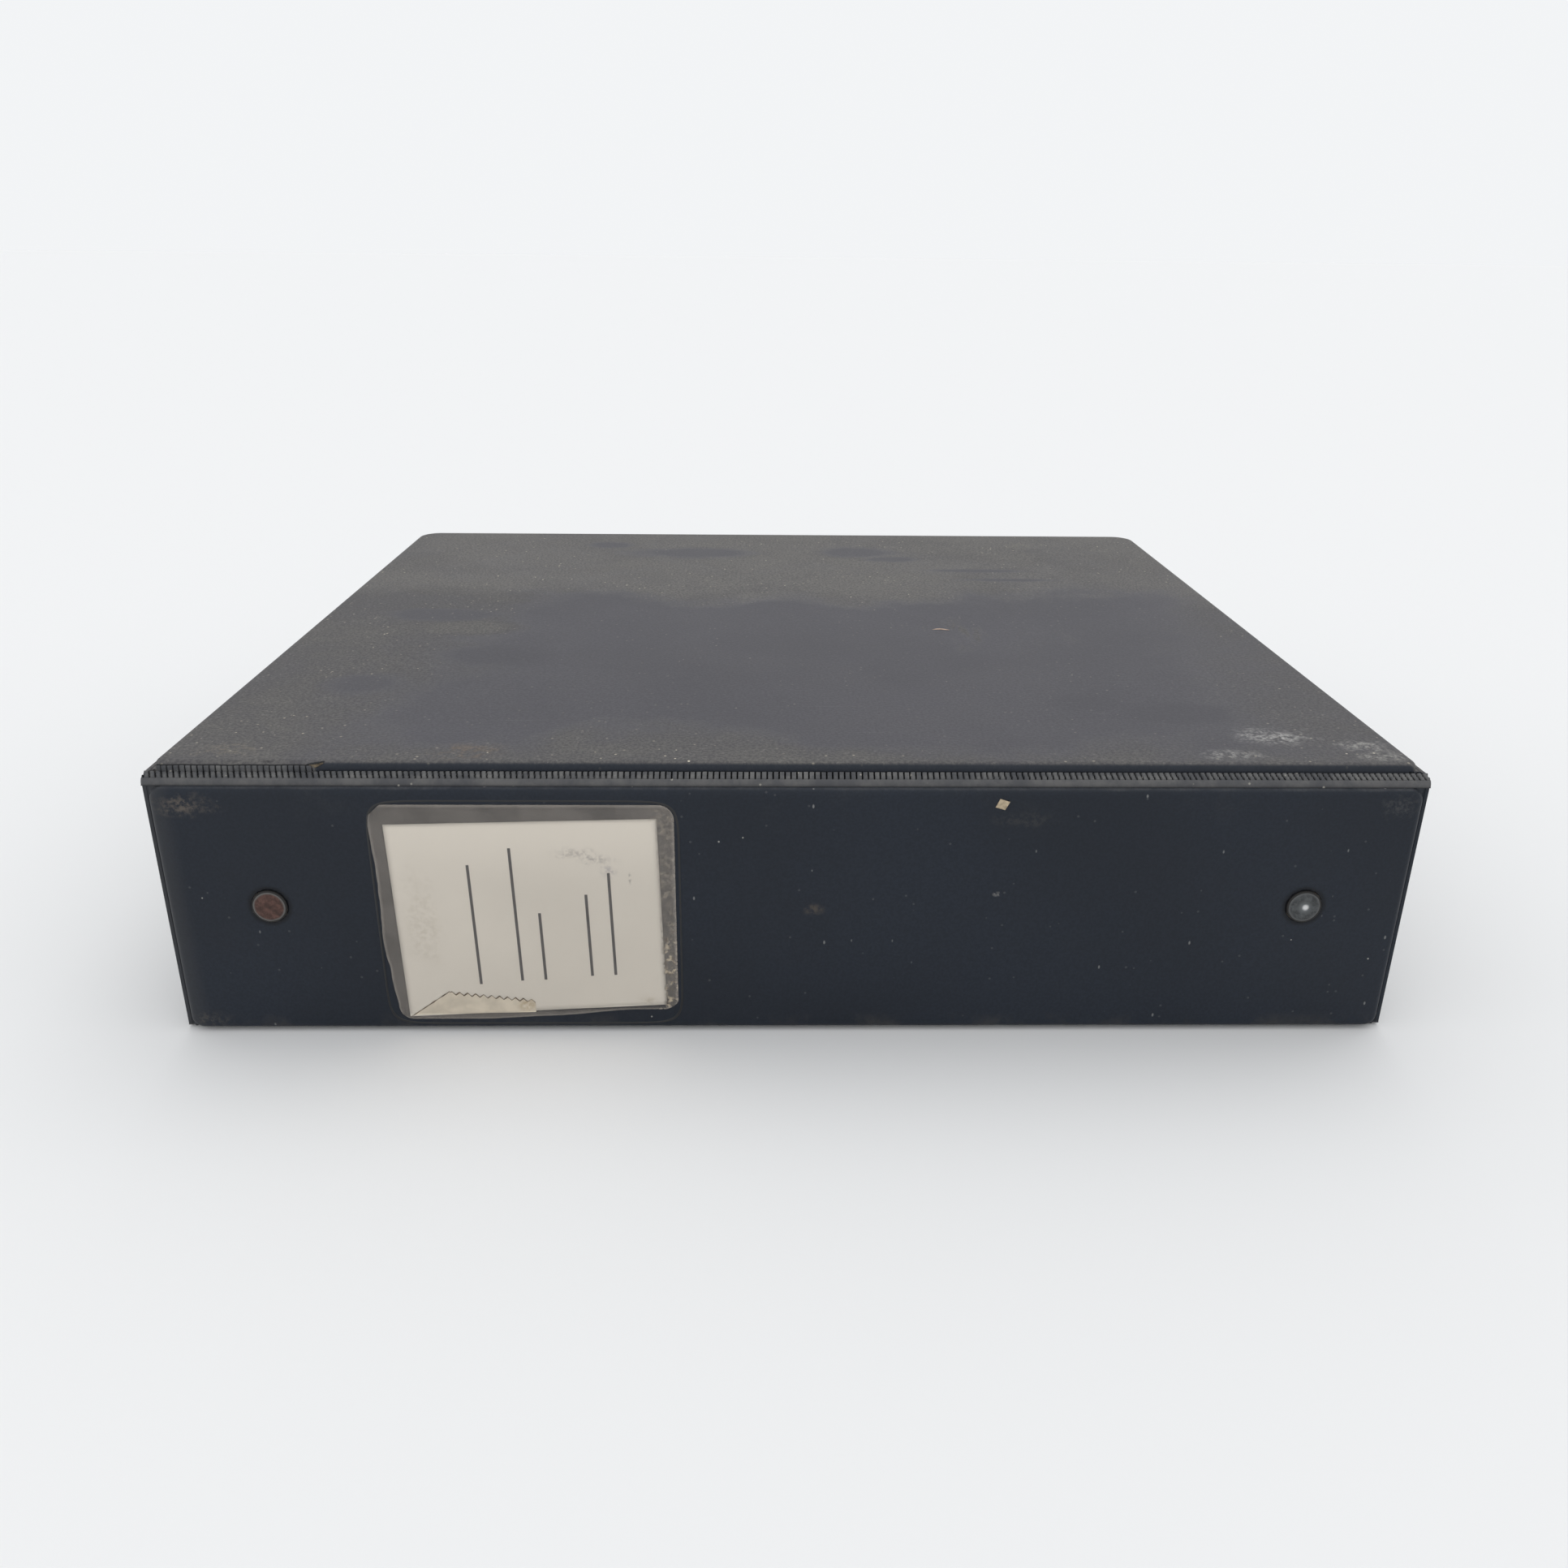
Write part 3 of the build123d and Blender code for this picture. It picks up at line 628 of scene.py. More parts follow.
def hinge_vinyl():
    """Ribbed weld: gaps painted near-black as shade, ribs worn grey with dust on top and partly painted
    highlight.
    """
    g = Graph("hinge_vinyl")
    dusty = g.step(g.noise(160, 4, 0.7), 0.3, 0.75)
    ridge = g.step(g.attribute("rib"), 0.3, 0.85)
    # Where the rib layer is 0, in the gaps and where the ribs fade out at the cover's lip and above the worn
    # part, the strip is painted near-black: painted shade. The grey of the rib tops is dust and wear, and
    # partly painted highlight.
    colour_out = g.mix(ridge, (0.003, 0.0035, 0.005),
                       g.mix(dusty, (0.05, 0.052, 0.058), (0.15, 0.148, 0.144)))
    band = g.attribute("band")
    worn = g.mix(dusty, (0.075, 0.076, 0.082), (0.135, 0.132, 0.13))
    colour_out = g.paint(colour_out, worn, band, 0.9)
    colour_out = specks(g, colour_out, 700, 0.06, 0.25, (0.4, 0.38, 0.33), 0.6)
    g.bump(g.noise(900, 3), 0.00004, 0.5)
    return g.finish(colour_out, 0.55, specular=0.3)


def liner_vinyl():
    g = Graph("liner_vinyl")
    base = g.mottle(tint("liner"), 0.85, 1.25, 18, 0.35, 0.7)
    base = scratches(g, base, 20, 600, 0.4, (0.07, 0.07, 0.075), 0.66, 0.4)
    base = specks(g, base, 150, 0.03, 0.05, (0.16, 0.15, 0.13), 0.5)
    grain(g, 0.7)
    return g.finish(base, g.step(g.noise(30, 3), 0.3, 0.7, 0.5, 0.4), specular=0.35)


def film(name, opacity, colour_value):
    """Dull clear film, dirtier along its edges and creases, with a painted highlight along its cut edge."""
    g = Graph(name)
    dirt = g.step(g.noise(75, 6, 0.7, distortion=0.5), 0.42, 0.7)
    grit = g.step(g.noise(700, 3, 0.6), 0.45, 0.62)
    edge, border = g.attribute("rim"), g.attribute("border")
    colour_out = g.paint(colour_value, scaled(colour_value, 0.6), edge, dirt, 0.7)
    low_end = g.step(g.axis(2), 0.034, 0.018, 1.0, 0.3)
    gritty = g.times(edge, grit, g.step(g.axis(0), -0.034, -0.030), low_end)
    grit_shade = g.mix(g.step(g.noise(500, 3), 0.42, 0.58), (0.09, 0.065, 0.042), (0.52, 0.44, 0.32))
    colour_out = g.paint(colour_out, grit_shade, gritty, 0.9)
    # A lighter, more opaque line along the film's cut edge: painted highlight.
    colour_out = g.paint(colour_out, scaled(colour_value, 1.25), border, 0.5)
    alpha = g.math("ADD", opacity * 0.22, g.times(edge, opacity * 0.42), clamp=True)
    alpha = g.math("ADD", alpha, g.times(border, 0.14), clamp=True)
    alpha = g.math("ADD", alpha, g.times(gritty, 0.55), clamp=True)
    g.bump(g.noise(140, 3), 0.0002, 0.35)
    return g.finish(colour_out, 0.3, specular=0.5, alpha=alpha)


def card_paper():
    g = Graph("card_paper")
    card = tint("card")
    base = g.mottle(card, 0.95, 1.05, 26, 0.3, 0.75)
    base = g.mix(g.step(g.axis(2), 0.036, 0.057), base, scaled(card, 1.12))
    for centre, reach, shade, strength in (
            ((-50, 0, 48), (7, 10, 2.2), (0.40, 0.36, 0.33), 0.7),
            ((-45, 0, 46.5), (6, 10, 2), (0.30, 0.27, 0.26), 0.7),
            ((-42, 0, 43.5), (2.5, 10, 3), (0.34, 0.31, 0.33), 0.65),
            ((-37.3, 0, 41.5), (0.5, 10, 2.2), (0.20, 0.18, 0.17), 0.7),
            ((-86, 0, 30), (6, 10, 18), (0.56, 0.50, 0.41), 0.5),
            ((-63.5, 0, 7.5), (3.5, 10, 3), (0.40, 0.30, 0.17), 0.7),
            ((-34, 0, 9), (3, 10, 2), (0.45, 0.38, 0.28), 0.6)):
        patch = g.broken(g.spot(centre, reach, 0.95, 0.7, 200), 700, 0.42, 0.6)
        base = g.paint(base, shade, patch, strength)
    base = specks(g, base, 260, 0.025, 0.11, (0.14, 0.11, 0.08), 0.75)
    g.bump(g.noise(1200, 3), 0.00004, 0.5)
    return g.finish(base, 0.75, specular=0.3)


def aged_tape():
    """Yellowed tape with a brown patch of old glue at one end."""
    g = Graph("old_tape")
    base = g.mottle(tint("tape"), 0.88, 1.12, 260, 0.3, 0.7)
    glue = g.broken(g.spot((-62.9, 0, 7.7), (2.8, 10, 2.4), 0.6, 0.5, 300), 600, 0.35, 0.6)
    base = g.paint(base, (0.36, 0.25, 0.11), glue, 0.65)
    g.bump(g.noise(1500, 3), 0.00003, 0.5)
    return g.finish(base, 0.45)


def flat(name, shade, roughness, metallic=0.0, specular=0.5, mottle=0.12, scale=200):
    """One plain material with slight mottling."""
    g = Graph(name)
    base = g.mottle(shade, 1 - mottle, 1 + mottle, scale, 0.3, 0.7)
    g.bump(g.noise(scale * 6, 3), 0.00003, 0.5)
    return g.finish(base, roughness, metallic, specular)


def rivet_metal(name, centre, core, ring, dot, metallic, roughness):
    """Rivet face: core colour, worn ring at its rim and, where a dot colour is given, a painted highlight in
    the middle.
    """
    g = Graph(name)
    face = g.spot(centre, (3.6, 20, 3.6), 0.14, 0.06, 500)
    rust = g.mix(g.step(g.noise(700, 5, 0.7), 0.35, 0.7), scaled(core, 0.55), scaled(core, 1.5))
    colour_out = g.mix(face, ring, rust)
    # A lighter middle and a bright dot just right of it: painted highlight on the crown.
    if dot:
        x, y, z = centre
        colour_out = g.mix(g.spot(centre, (2.1, 20, 2.1), 0.7, 0.25, 700), colour_out, scaled(core, 2.1))
        colour_out = g.mix(g.spot((x + 0.2, y, z), (1.0, 20, 1.0), 0.7, 0.1, 700), colour_out, dot)
    g.bump(g.noise(1100, 4), 0.0001, 0.6)
    return g.finish(colour_out, roughness, metallic, 0.4)


# ---- pieces ----

FIBRE = (48.7, 117.2)  # middle of the fibre on the front cover, in the shallow dent under it


def dents(panel, seed, scale, depth, fade):
    """Gentle hollows of a panel, none at its edges."""
    def depth_at(x, y):
        inside = smooth(panel.edge_distance(x, y), fade * 0.45, fade)
        return depth * inside * (0.5 + 0.5 * ripple(x, y, scale, seed))
    return depth_at


class BINDER_OT_panels(bpy.types.Operator):
    """Outer vinyl of both covers and the spine, with rolled edges and welded rims"""
    bl_idname = "binder.panels"
    bl_label = "Outer vinyl"

    def execute(self, context):
        s = sizes()
        boards = panels()
        for name, seed in (("front", 1), ("back", 2)):
            board = boards[name]
            top = name == "front"
            hollow = dents(board, seed, scale=0.018, depth=0.3, fade=30)

            def cover_dents(x, y, hollow=hollow, top=top):
                fibre_bed = 0.16 * smooth(math.dist((x, y), FIBRE), 16, 4)
                return hollow(x, y) + (fibre_bed if top else 0)

            bm = board.shell(cover_dents, s["columns"], s["rows"])
            bm.transform(board.to_binder)
            material = cover_vinyl(f"{name}_cover_vinyl", top)
            new_piece(f"{name}_vinyl", bm, material, f"{name}_cover", "cover_vinyl", f"{name}_outer_vinyl",
                      thick=s["skin"])
        board = boards["spine"]
        middle = s["thickness"] / 2
        hollow = dents(board, 3, scale=0.03, depth=0.15, fade=16)

        def from_rivet(x, y):
            return math.hypot(abs(x) - s["rivet_x"], y - middle)

        def spine_dents(x, y):
            gap = from_rivet(x, y)
            return hollow(x, y) * smooth(gap, 5, 14) + 0.22 * smooth(gap, 9.0, 4.4)

        bm = board.shell(lambda x, y: 0, s["columns"], 40)
        around = {v for v in bm.verts if from_rivet(v.co.x, v.co.y) < 11 and v.co.z > -0.01}
        edges = [e for e in bm.edges if around.issuperset(e.verts)]
        bmesh.ops.subdivide_edges(bm, edges=edges, cuts=3, use_grid_fill=True)
        for v in bm.verts:
            if v.co.z > -0.001 and board.edge_distance(v.co.x, v.co.y) > 2:
                v.co.z -= spine_dents(v.co.x, v.co.y)
        bm.transform(board.to_binder)
        obj = new_piece("spine_vinyl_skin", bm, spine_vinyl(), None, "cover_vinyl", "spine_outer_vinyl",
                        thick=s["skin"])
        cutter_mesh = bmesh.new()
        for x in (-s["rivet_x"], s["rivet_x"]):
            turn = Matrix.Translation((x, 0, middle)) @ Matrix.Rotation(math.pi / 2, 4, "X")
            bmesh.ops.create_cone(cutter_mesh, cap_ends=True, segments=64, radius1=s["rivet_hole"],
                                  radius2=s["rivet_hole"], depth=8, matrix=turn)
        cutter = new_piece("hole_cutter", cutter_mesh, obj.data.materials[0], None, "cover_vinyl")
        cut = obj.modifiers.new("Holes", "BOOLEAN")
        cut.object, cut.operation, cut.solver = cutter, "DIFFERENCE", "EXACT"
        context.view_layer.update()
        mesh = bpy.data.meshes.new_from_object(obj.evaluated_get(context.evaluated_depsgraph_get()))
        if len(mesh.polygons) < 1000:
            raise RuntimeError("cutting the rivet holes left too little of the spine")
        obj.modifiers.clear()
        obj.data = mesh
        bpy.data.objects.remove(cutter)
        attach(obj, "spine")
        return {"FINISHED"}


class BINDER_OT_liners(bpy.types.Operator):
    """Inner vinyl of the three panels, with the welded line inside the rim"""
    bl_idname = "binder.liners"
    bl_label = "Inner vinyl"

    def execute(self, context):
        s = sizes()
        material = liner_vinyl()
        for name, board in panels().items():
            def relief(x, y, board=board):
                gap = board.edge_distance(x, y)
                return 0.18 * pressed(gap, 2.3, 0.45) + 0.14 * smooth(gap, 0.5, 0)

            bm = board.sheet(s["panel"], 120, 100 if name != "spine" else 50, relief)
            bm.transform(board.to_binder)
            body = "spine" if name == "spine" else f"{name}_cover"
            new_piece(f"{name}_inner_vinyl", bm, material, body, "liner_vinyl", f"{name}_liner", thick=0.3)
        return {"FINISHED"}


def rib(x, pitch, seed=0):
    """Height of the ribbed weld at x, from 0 in a gap to 1 on a rib; a gap takes a third of the pitch."""
    turn = x / pitch
    phase = turn - math.floor(turn + 1e-6)
    random.seed(math.floor(turn + 1e-6) + seed)
    return min(1, abs(phase - 5 / 6) * 6) * (0.84 + 0.16 * random.random())


def tube(columns, outer, inner, half_length, section):
    """A closed strip along X; section(x, row) gives y, z, the rib height and the wear of each row."""
    rows = outer + inner + 2

    def place(u, v):
        x = (2 * u - 1) * half_length
        return Vector((x, *section(x, round(v * rows) % rows)[:2]))

    bm = placed_grid(columns, rows, place)
    layers = [bm.verts.layers.float.new(name) for name in ("rib", "band")]
    for index, v in enumerate(bm.verts):
        v[layers[0]], v[layers[1]] = section(v.co.x, (index // (columns + 1)) % rows)[2:]
    close_tube(bm)
    return bm


class BINDER_OT_hinges(bpy.types.Operator):
    """Ribbed hinge strips that bend between the spine and each cover"""
    bl_idname = "binder.hinges"
    bl_label = "Hinges"

    def execute(self, context):
        s = sizes()
        material = hinge_vinyl()
        half = s["height"] / 2
        pitch = 2 * half / round(2 * half / s["rib_pitch"])
        count = round(2 * half / pitch)
        outer_rows, inner_rows = 12, 5
        torn_end = s["torn_end"]
        near, top = s["front_near"], s["spine_high"]
        inner_radius, outer_radius, least_radius = 1.7, 2.44, 1.84

        def front_section(x, row):
            inside = row > outer_rows
            share = (row / outer_rows) if not inside else 1 - (row - outer_rows - 1) / inner_rows
            angle = math.radians(88 * min(max(share, 0), 1))
            r, height, worn = inner_radius, 0.0, 0.0
            if not inside:
                torn = smooth(x, torn_end + 1, torn_end)
                worn = smooth(share, 0.52, 0.44) * (0.12 + 0.88 * smooth(share, 0.03, 0.1))
                # Where the band fades, near the cover and above the worn part, the ribs fall to 0 and the
                # strip is painted near-black: painted shade of the crevice under the cover's lip.
                band = smooth(share, 0.44, 0.52) * max(smooth(share, 1.02, 0.92), torn)
                lean = 1.3 * smooth(abs(x), 15, 115) * (share - 1)
                height = rib(x + half + lean, pitch) * band
                r = outer_radius + 0.2 * worn + 0.28 * smooth(share, 0.1, 0)
                r += 0.25 * smooth(share, 0.7, 1) * (1 - torn)
                r += 0.14 * height - s["rib_depth"] * band * (1 - height / 0.93)
                r -= 0.14 * band * pressed(share, 0.75, 0.05)
                r = max(r, least_radius)
            return near - 0.12 - r * math.cos(angle), top + r * math.sin(angle), height, worn

        bm = tube(6 * count, outer_rows, inner_rows, half, front_section)
        strip = new_piece("front_hinge", bm, material, None, "cover_vinyl", "front_hinge_vinyl", angle=50)
        start, end = row_point(0, 2.6, top), row_point(0, near, top + 2.1)
        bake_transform(strip, "spine", "front_cover", start=start, end=end)

        edge, low = s["back_near"] - 0.15, s["spine_low"]
        # (y, z) round the outside of the strip from the spine to the cover, then back along its inside
        outer_line = [(2.2, low), (2.3, low - 0.3), (2.6, low - 0.5), (3.1, low - 0.55), (3.8, low - 0.2),
                      (edge, 2.2)]
        inner_line = [(edge, 3.0), (3.8, low + 0.75), (3.0, low)]

        def along(line, share):
            place = min(max(share, 0), 1) * (len(line) - 1)
            index = min(int(place), len(line) - 2)
            a, b, t = line[index], line[index + 1], place - index
            return a[0] + (b[0] - a[0]) * t, a[1] + (b[1] - a[1]) * t

        def back_section(x, row):
            if row > outer_rows:
                return *along(inner_line, (row - outer_rows - 1) / inner_rows), 0.0, 0.0
            share = row / outer_rows
            y, z = along(outer_line, share)
            band = smooth(share, 0.2, 0.35) * smooth(share, 0.9, 0.75)
            height = rib(x + half, pitch, 500) * band
            return y, z + 0.35 * band * (1 - height), height, 1 - band

        bm = tube(6 * count, outer_rows, inner_rows, half, back_section)
        strip = new_piece("back_hinge", bm, material, None, "cover_vinyl", "back_hinge_vinyl", angle=50)
        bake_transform(strip, "spine", "back_cover", start=row_point(0, 2.6, low), end=row_point(0, edge, 2.6))
        return {"FINISHED"}


class BINDER_OT_torn_lip(bpy.types.Operator):
    """Bare ribs where the front cover's lip has worn away, and the flap beside them"""
    bl_idname = "binder.torn_lip"
    bl_label = "Torn lip"

    def execute(self, context):
        s = sizes()
        pitch = s["height"] / round(s["height"] / s["rib_pitch"])
        near, top, roll = s["front_near"], s["thickness"], s["roll"]
        start, end = -143.2, s["torn_end"]
        count = round((end - start) / pitch)
        half = s["height"] / 2
        wall, wall_share = 2.62, 0.45

        def section(x, v):
            """Follows the wall and the lower part of the rolled edge, out by the rib's height."""
            ends = smooth(x, start, start + 1.5) * smooth(x, end, end - 1)
            # The ribs fade out under the rolled edge, leaving the strip painted near-black there: painted
            # shade under the lip.
            height = rib(x + half, pitch) * smooth(v, 0.92, 0.8)
            out = 0.06 + (0.30 * height - 0.02) * ends
            if v < wall_share:
                return near - out, top - wall + v / wall_share * (wall - roll), height
            angle = math.radians((v - wall_share) / (1 - wall_share) * (33 + 5 * ripple(x, 0, 0.2, 3)))
            r = roll + out
            return near + roll - r * math.cos(angle), top - roll + r * math.sin(angle), height

        columns, rows = 6 * count, 12

        def place(u, v):
            x = start + u * (end - start)
            return Vector((x, *section(x, v)[:2]))

        bm = placed_grid(columns, rows, place)
        layers = [bm.verts.layers.float.new(name) for name in ("rib", "band")]
        for index, v in enumerate(bm.verts):
            v[layers[0]] = section(v.co.x, (index // (columns + 1)) / rows)[2]
        bmesh.ops.recalc_face_normals(bm, faces=bm.faces)
        new_piece("torn_lip_ribs", bm, bpy.data.materials["hinge_vinyl"], "front_cover", "cover_vinyl",
                  angle=50, thick=0.12)

        def lip_point(x, angle, out):
            """A point of the rolled edge, angle degrees up from the wall."""
            r, turn = roll + out, math.radians(angle)
            z = min(top - roll + r * math.sin(turn), top - 0.15)
            return Vector((x, near + roll - r * math.cos(turn), z))

        def leaf(u):
            """Half width of a leaf shape along u, as a share of its widest place."""
            return math.sin(math.pi * min(max(u, 0.02), 0.98)) ** 0.7

        def hole(u, v):
            return lip_point(end - 1.9 + 3.7 * u, 14 + 30 * u + (v - 0.5) * 38 * leaf(u), 0.12)

        def flap(u, v):
            return lip_point(end - 1.9 + 4.0 * u, 34 + 26 * u - (v - 0.25) * 15 * leaf(u), 0.2 + 0.05 * v)

        for name, place, material in (
                ("torn_hole", hole, flat("bare_backing", (0.105, 0.082, 0.053), 0.9, mottle=0.5, scale=900)),
                ("torn_flap", flap, flat("torn_edge", (0.007, 0.008, 0.010), 0.7, mottle=0.3))):
            bm = front_out(placed_grid(14, 6, place))
            new_piece(name, bm, material, "front_cover", "cover_vinyl", thick=0.08)
        return {"FINISHED"}


def pocket_sheet(left, right, low, high, radius, columns, rows, place_at):
    """A round-cornered sheet; place_at takes each point's x, y and distance from the edge."""
    half_x, half_y = (right - left) / 2, (high - low) / 2
    mid_x, mid_y = (left + right) / 2, (low + high) / 2
    gaps = []

    def place(u, v):
        x, y = (math.copysign(1 - (1 - abs(2 * t - 1)) ** 1.35, 2 * t - 1) for t in (u, v))
        x, y = x * half_x, y * half_y
        gap = min(half_x - abs(x), half_y - abs(y))
        x, y, out = rounded(x, y, half_x, half_y, radius)
        if out:
            gap = radius * (1 - out)
        gaps.append(gap)
        return place_at(mid_x + x, mid_y + y, gap)

    bm = placed_grid(columns, rows, place)
    layer = bm.verts.layers.float.new("rim")
    for v, gap in zip(bm.verts, gaps):
        v[layer] = gap
    return bm


class BINDER_OT_label(bpy.types.Operator):
    """Label pocket with its weld, the card, ruled lines and the old tape"""
    bl_idname = "binder.label"
    bl_label = "Label"

    def execute(self, context):
        tilt = 1.4
        cx, cz = -61.1, 30.85
        card_wide, card_high = 61.9, 50.2
        film_left, film_right, film_low, film_high = -95.3, -26.8, 3.0, 60.1
        # how far each layer stands out from the spine
        tape_out, tape_edge_out, film_out = 0.262, 0.275, 0.62

        def on_card(u, v):
            """Card coordinates, 0 to 1 across and up, to the spine's plane."""
            x, z = turned((u - 0.5) * card_wide, (v - 0.5) * card_high, tilt)
            return cx + x, cz + z + (1 - v) * (1.7 * u - 0.5)

        def curl(u, v):
            """How far the card stands out from the spine."""
            return 0.19 + 0.05 * abs(u - 0.5) * 2 * (0.5 + 0.5 * ripple(u, v, 3))

        def card_place(u, v):
            x, z = on_card(u, v)
            return Vector((x, -curl(u, v), z))

        bm = front_out(placed_grid(40, 34, card_place))
        new_piece("card", bm, card_paper(), "spine", "label_paper", "label_card", thick=0.15)

        ink = flat("ruled_ink", tint("print_ink"), 0.7, specular=0.2)
        bm = bmesh.new()
        for across, low, high in ((0.29, 0.16, 0.79), (0.45, 0.17, 0.87), (0.54, 0.17, 0.53),
                                  (0.72, 0.18, 0.62), (0.81, 0.18, 0.73)):
            def rule(u, v):
                up = low + (high - low) * v
                x, z = on_card(across + (u - 0.5) * 0.011, up)
                return Vector((x, -curl(across, up) - 0.02, z))

            strip = placed_grid(1, 24, rule)
            mesh = bpy.data.meshes.new("line")
            strip.to_mesh(mesh)
            strip.free()
            bm.from_mesh(mesh)
            bpy.data.meshes.remove(mesh)
        new_piece("ruled_lines", front_out(bm), ink, "spine", "label_paper")

        def tape_top(u):
            """Toothed upper edge of the tape, 0 to 1 from its corner on the card."""
            left, peak = -91.3, 0.33
            x = left + 30.2 * u
            if u < peak:
                return x, 4.35 + (x - left) * 0.72
            z = 11.5 - (u - peak) / (1 - peak) * 2.3
            return x, z - abs((u * 16) % 1 - 0.5) * 1.7

        def tape_place(u, v):
            x, z = tape_top(u)
            low = 4.95 + 0.75 * u
            return Vector((x, -tape_out, low + (max(z, low + 0.02) - low) * v))

        bm = front_out(placed_grid(208, 4, tape_place))
        new_piece("old_tape_patch", bm, aged_tape(), "spine", "clear_film")

        def line_place(u, v):
            x, z = tape_top(u)
            return Vector((x, -tape_edge_out, z + (v - 0.5) * 0.42 * (0.7 + 0.6 * ripple(u, 0, 30, 2))))

        bm = front_out(placed_grid(208, 1, line_place))
        grime = flat("tape_grime", (0.085, 0.05, 0.022), 0.7, mottle=0.4, scale=500)
        new_piece("old_tape_edge", bm, grime, "spine", "clear_film")

        def film_place(x, z, gap):
            left = smooth(x, -84, film_left)
            wobble = (0.4 * ripple(z, 0, 0.09, 4) + 0.25 * ripple(z, 0, 0.3, 5)) * left
            lean = (0.35 * smooth(z, 49, 45) - 0.6 + 1.6 * smooth(z, 26, 4)) * left
            sag = (0.7 + 0.9 * smooth(x, -75, -55) + 1.7 * smooth(x, -58, -36)) * smooth(z, 12, 3)
            x += wobble + lean
            weld = 0.16 * pressed(gap, 0.7, 0.3)
            rise = smooth(gap, 1.0, 2.4)
            level = 0.07 + weld + rise * (0.42 + 0.05 * ripple(x, z, 0.09, 6) + 0.03 * ripple(x, z, 0.3, 8))
            return Vector((x, -min(level, film_out), z + sag))

        bm = pocket_sheet(film_left, film_right, film_low, film_high, 3.7, 100, 90, film_place)
        rim = bm.verts.layers.float["rim"]
        border = bm.verts.layers.float.new("border")
        for v in bm.verts:
            x, z = turned(v.co.x - cx, v.co.z - cz, -tilt)
            # This layer marks the film's cut edge, which the film material paints lighter as a highlight.
            v[border] = smooth(v[rim], 0.75, 0.2)
            v[rim] = smooth(max(abs(x) - card_wide / 2, abs(z) - card_high / 2), -0.5, 0.3)
        for point, way in (((-93.4, 0, 4.7), (-1, 0, -1.7)), ((-95.0, 0, 58.2), (-1, 0, 1.1))):
            bmesh.ops.bisect_plane(bm, geom=bm.verts[:] + bm.edges[:] + bm.faces[:], plane_co=point,
                                   plane_no=Vector(way).normalized(), clear_outer=True)
        front_out(bm)
        material = film("label_film", 0.40, tint("film"))
        new_piece("label_film", bm, material, "spine", "clear_film", "label_pocket", thick=0.05)

        def weld_place(u, v):
            """A pressed line that runs round the pocket, outside its film, drawn near-black as painted shade
            of its groove.
            """
            turn = u * 2 * math.pi
            half_x, half_z = 34.25 + 1.0, 28.4 + 0.9  # half of the film and a margin
            c, n = math.cos(turn), math.sin(turn)
            x = math.copysign(min(abs(c) ** 0.16, 1), c) * half_x
            z = math.copysign(min(abs(n) ** 0.16, 1), n) * half_z
            wide = 0.24 * (2 * v - 1)
            x, z = -61.05 + x * (1 + wide / half_x), 31.7 + z * (1 + wide / half_z)
            return Vector((x, -0.1 * math.sin(math.pi * v), z))

        bm = front_out(placed_grid(240, 4, weld_place))
        # The near-black weld strip is painted shade of the pressed groove.
        new_piece("label_weld", bm, flat("weld_black", (0.004, 0.0045, 0.006), 0.3), "spine", "cover_vinyl")
        return {"FINISHED"}


class BINDER_OT_debris(bpy.types.Operator):
    """A fleck of old paper on the spine and a fibre on the front cover"""
    bl_idname = "binder.debris"
    bl_label = "Debris"

    def execute(self, context):
        def fleck(u, v):
            x, z = turned((u - 0.5) * 2.3, (v - 0.5) * 2.3 + 0.3 * (u - 0.5), -24)
            return Vector((47.8 + x, -0.1 - 0.25 * u * v, 60.4 + z))

        bm = front_out(placed_grid(6, 6, fleck))
        paper = flat("old_paper", (0.42, 0.34, 0.23), 0.8, mottle=0.3, scale=900)
        new_piece("paper_fleck", bm, paper, "spine", "label_paper", thick=0.1)

        fibre_level = 68.29

        def fibre(u, v):
            turn = v * 2 * math.pi
            r = 0.19 * math.sin(math.pi * min(max(u, 0.04), 0.96)) + 0.03
            y = FIBRE[1] + 0.5 * math.sin(u * 4) + r * math.cos(turn)
            return Vector((FIBRE[0] - 2.8 + 5.2 * u, y, fibre_level + r * math.sin(turn) * 0.9))

        bm = placed_grid(16, 8, fibre)
        close_tube(bm)
        pink = flat("fibre", (0.62, 0.46, 0.35), 0.8, mottle=0.3, scale=900)
        new_piece("fibre", bm, pink, "front_cover", "label_paper")
        return {"FINISHED"}


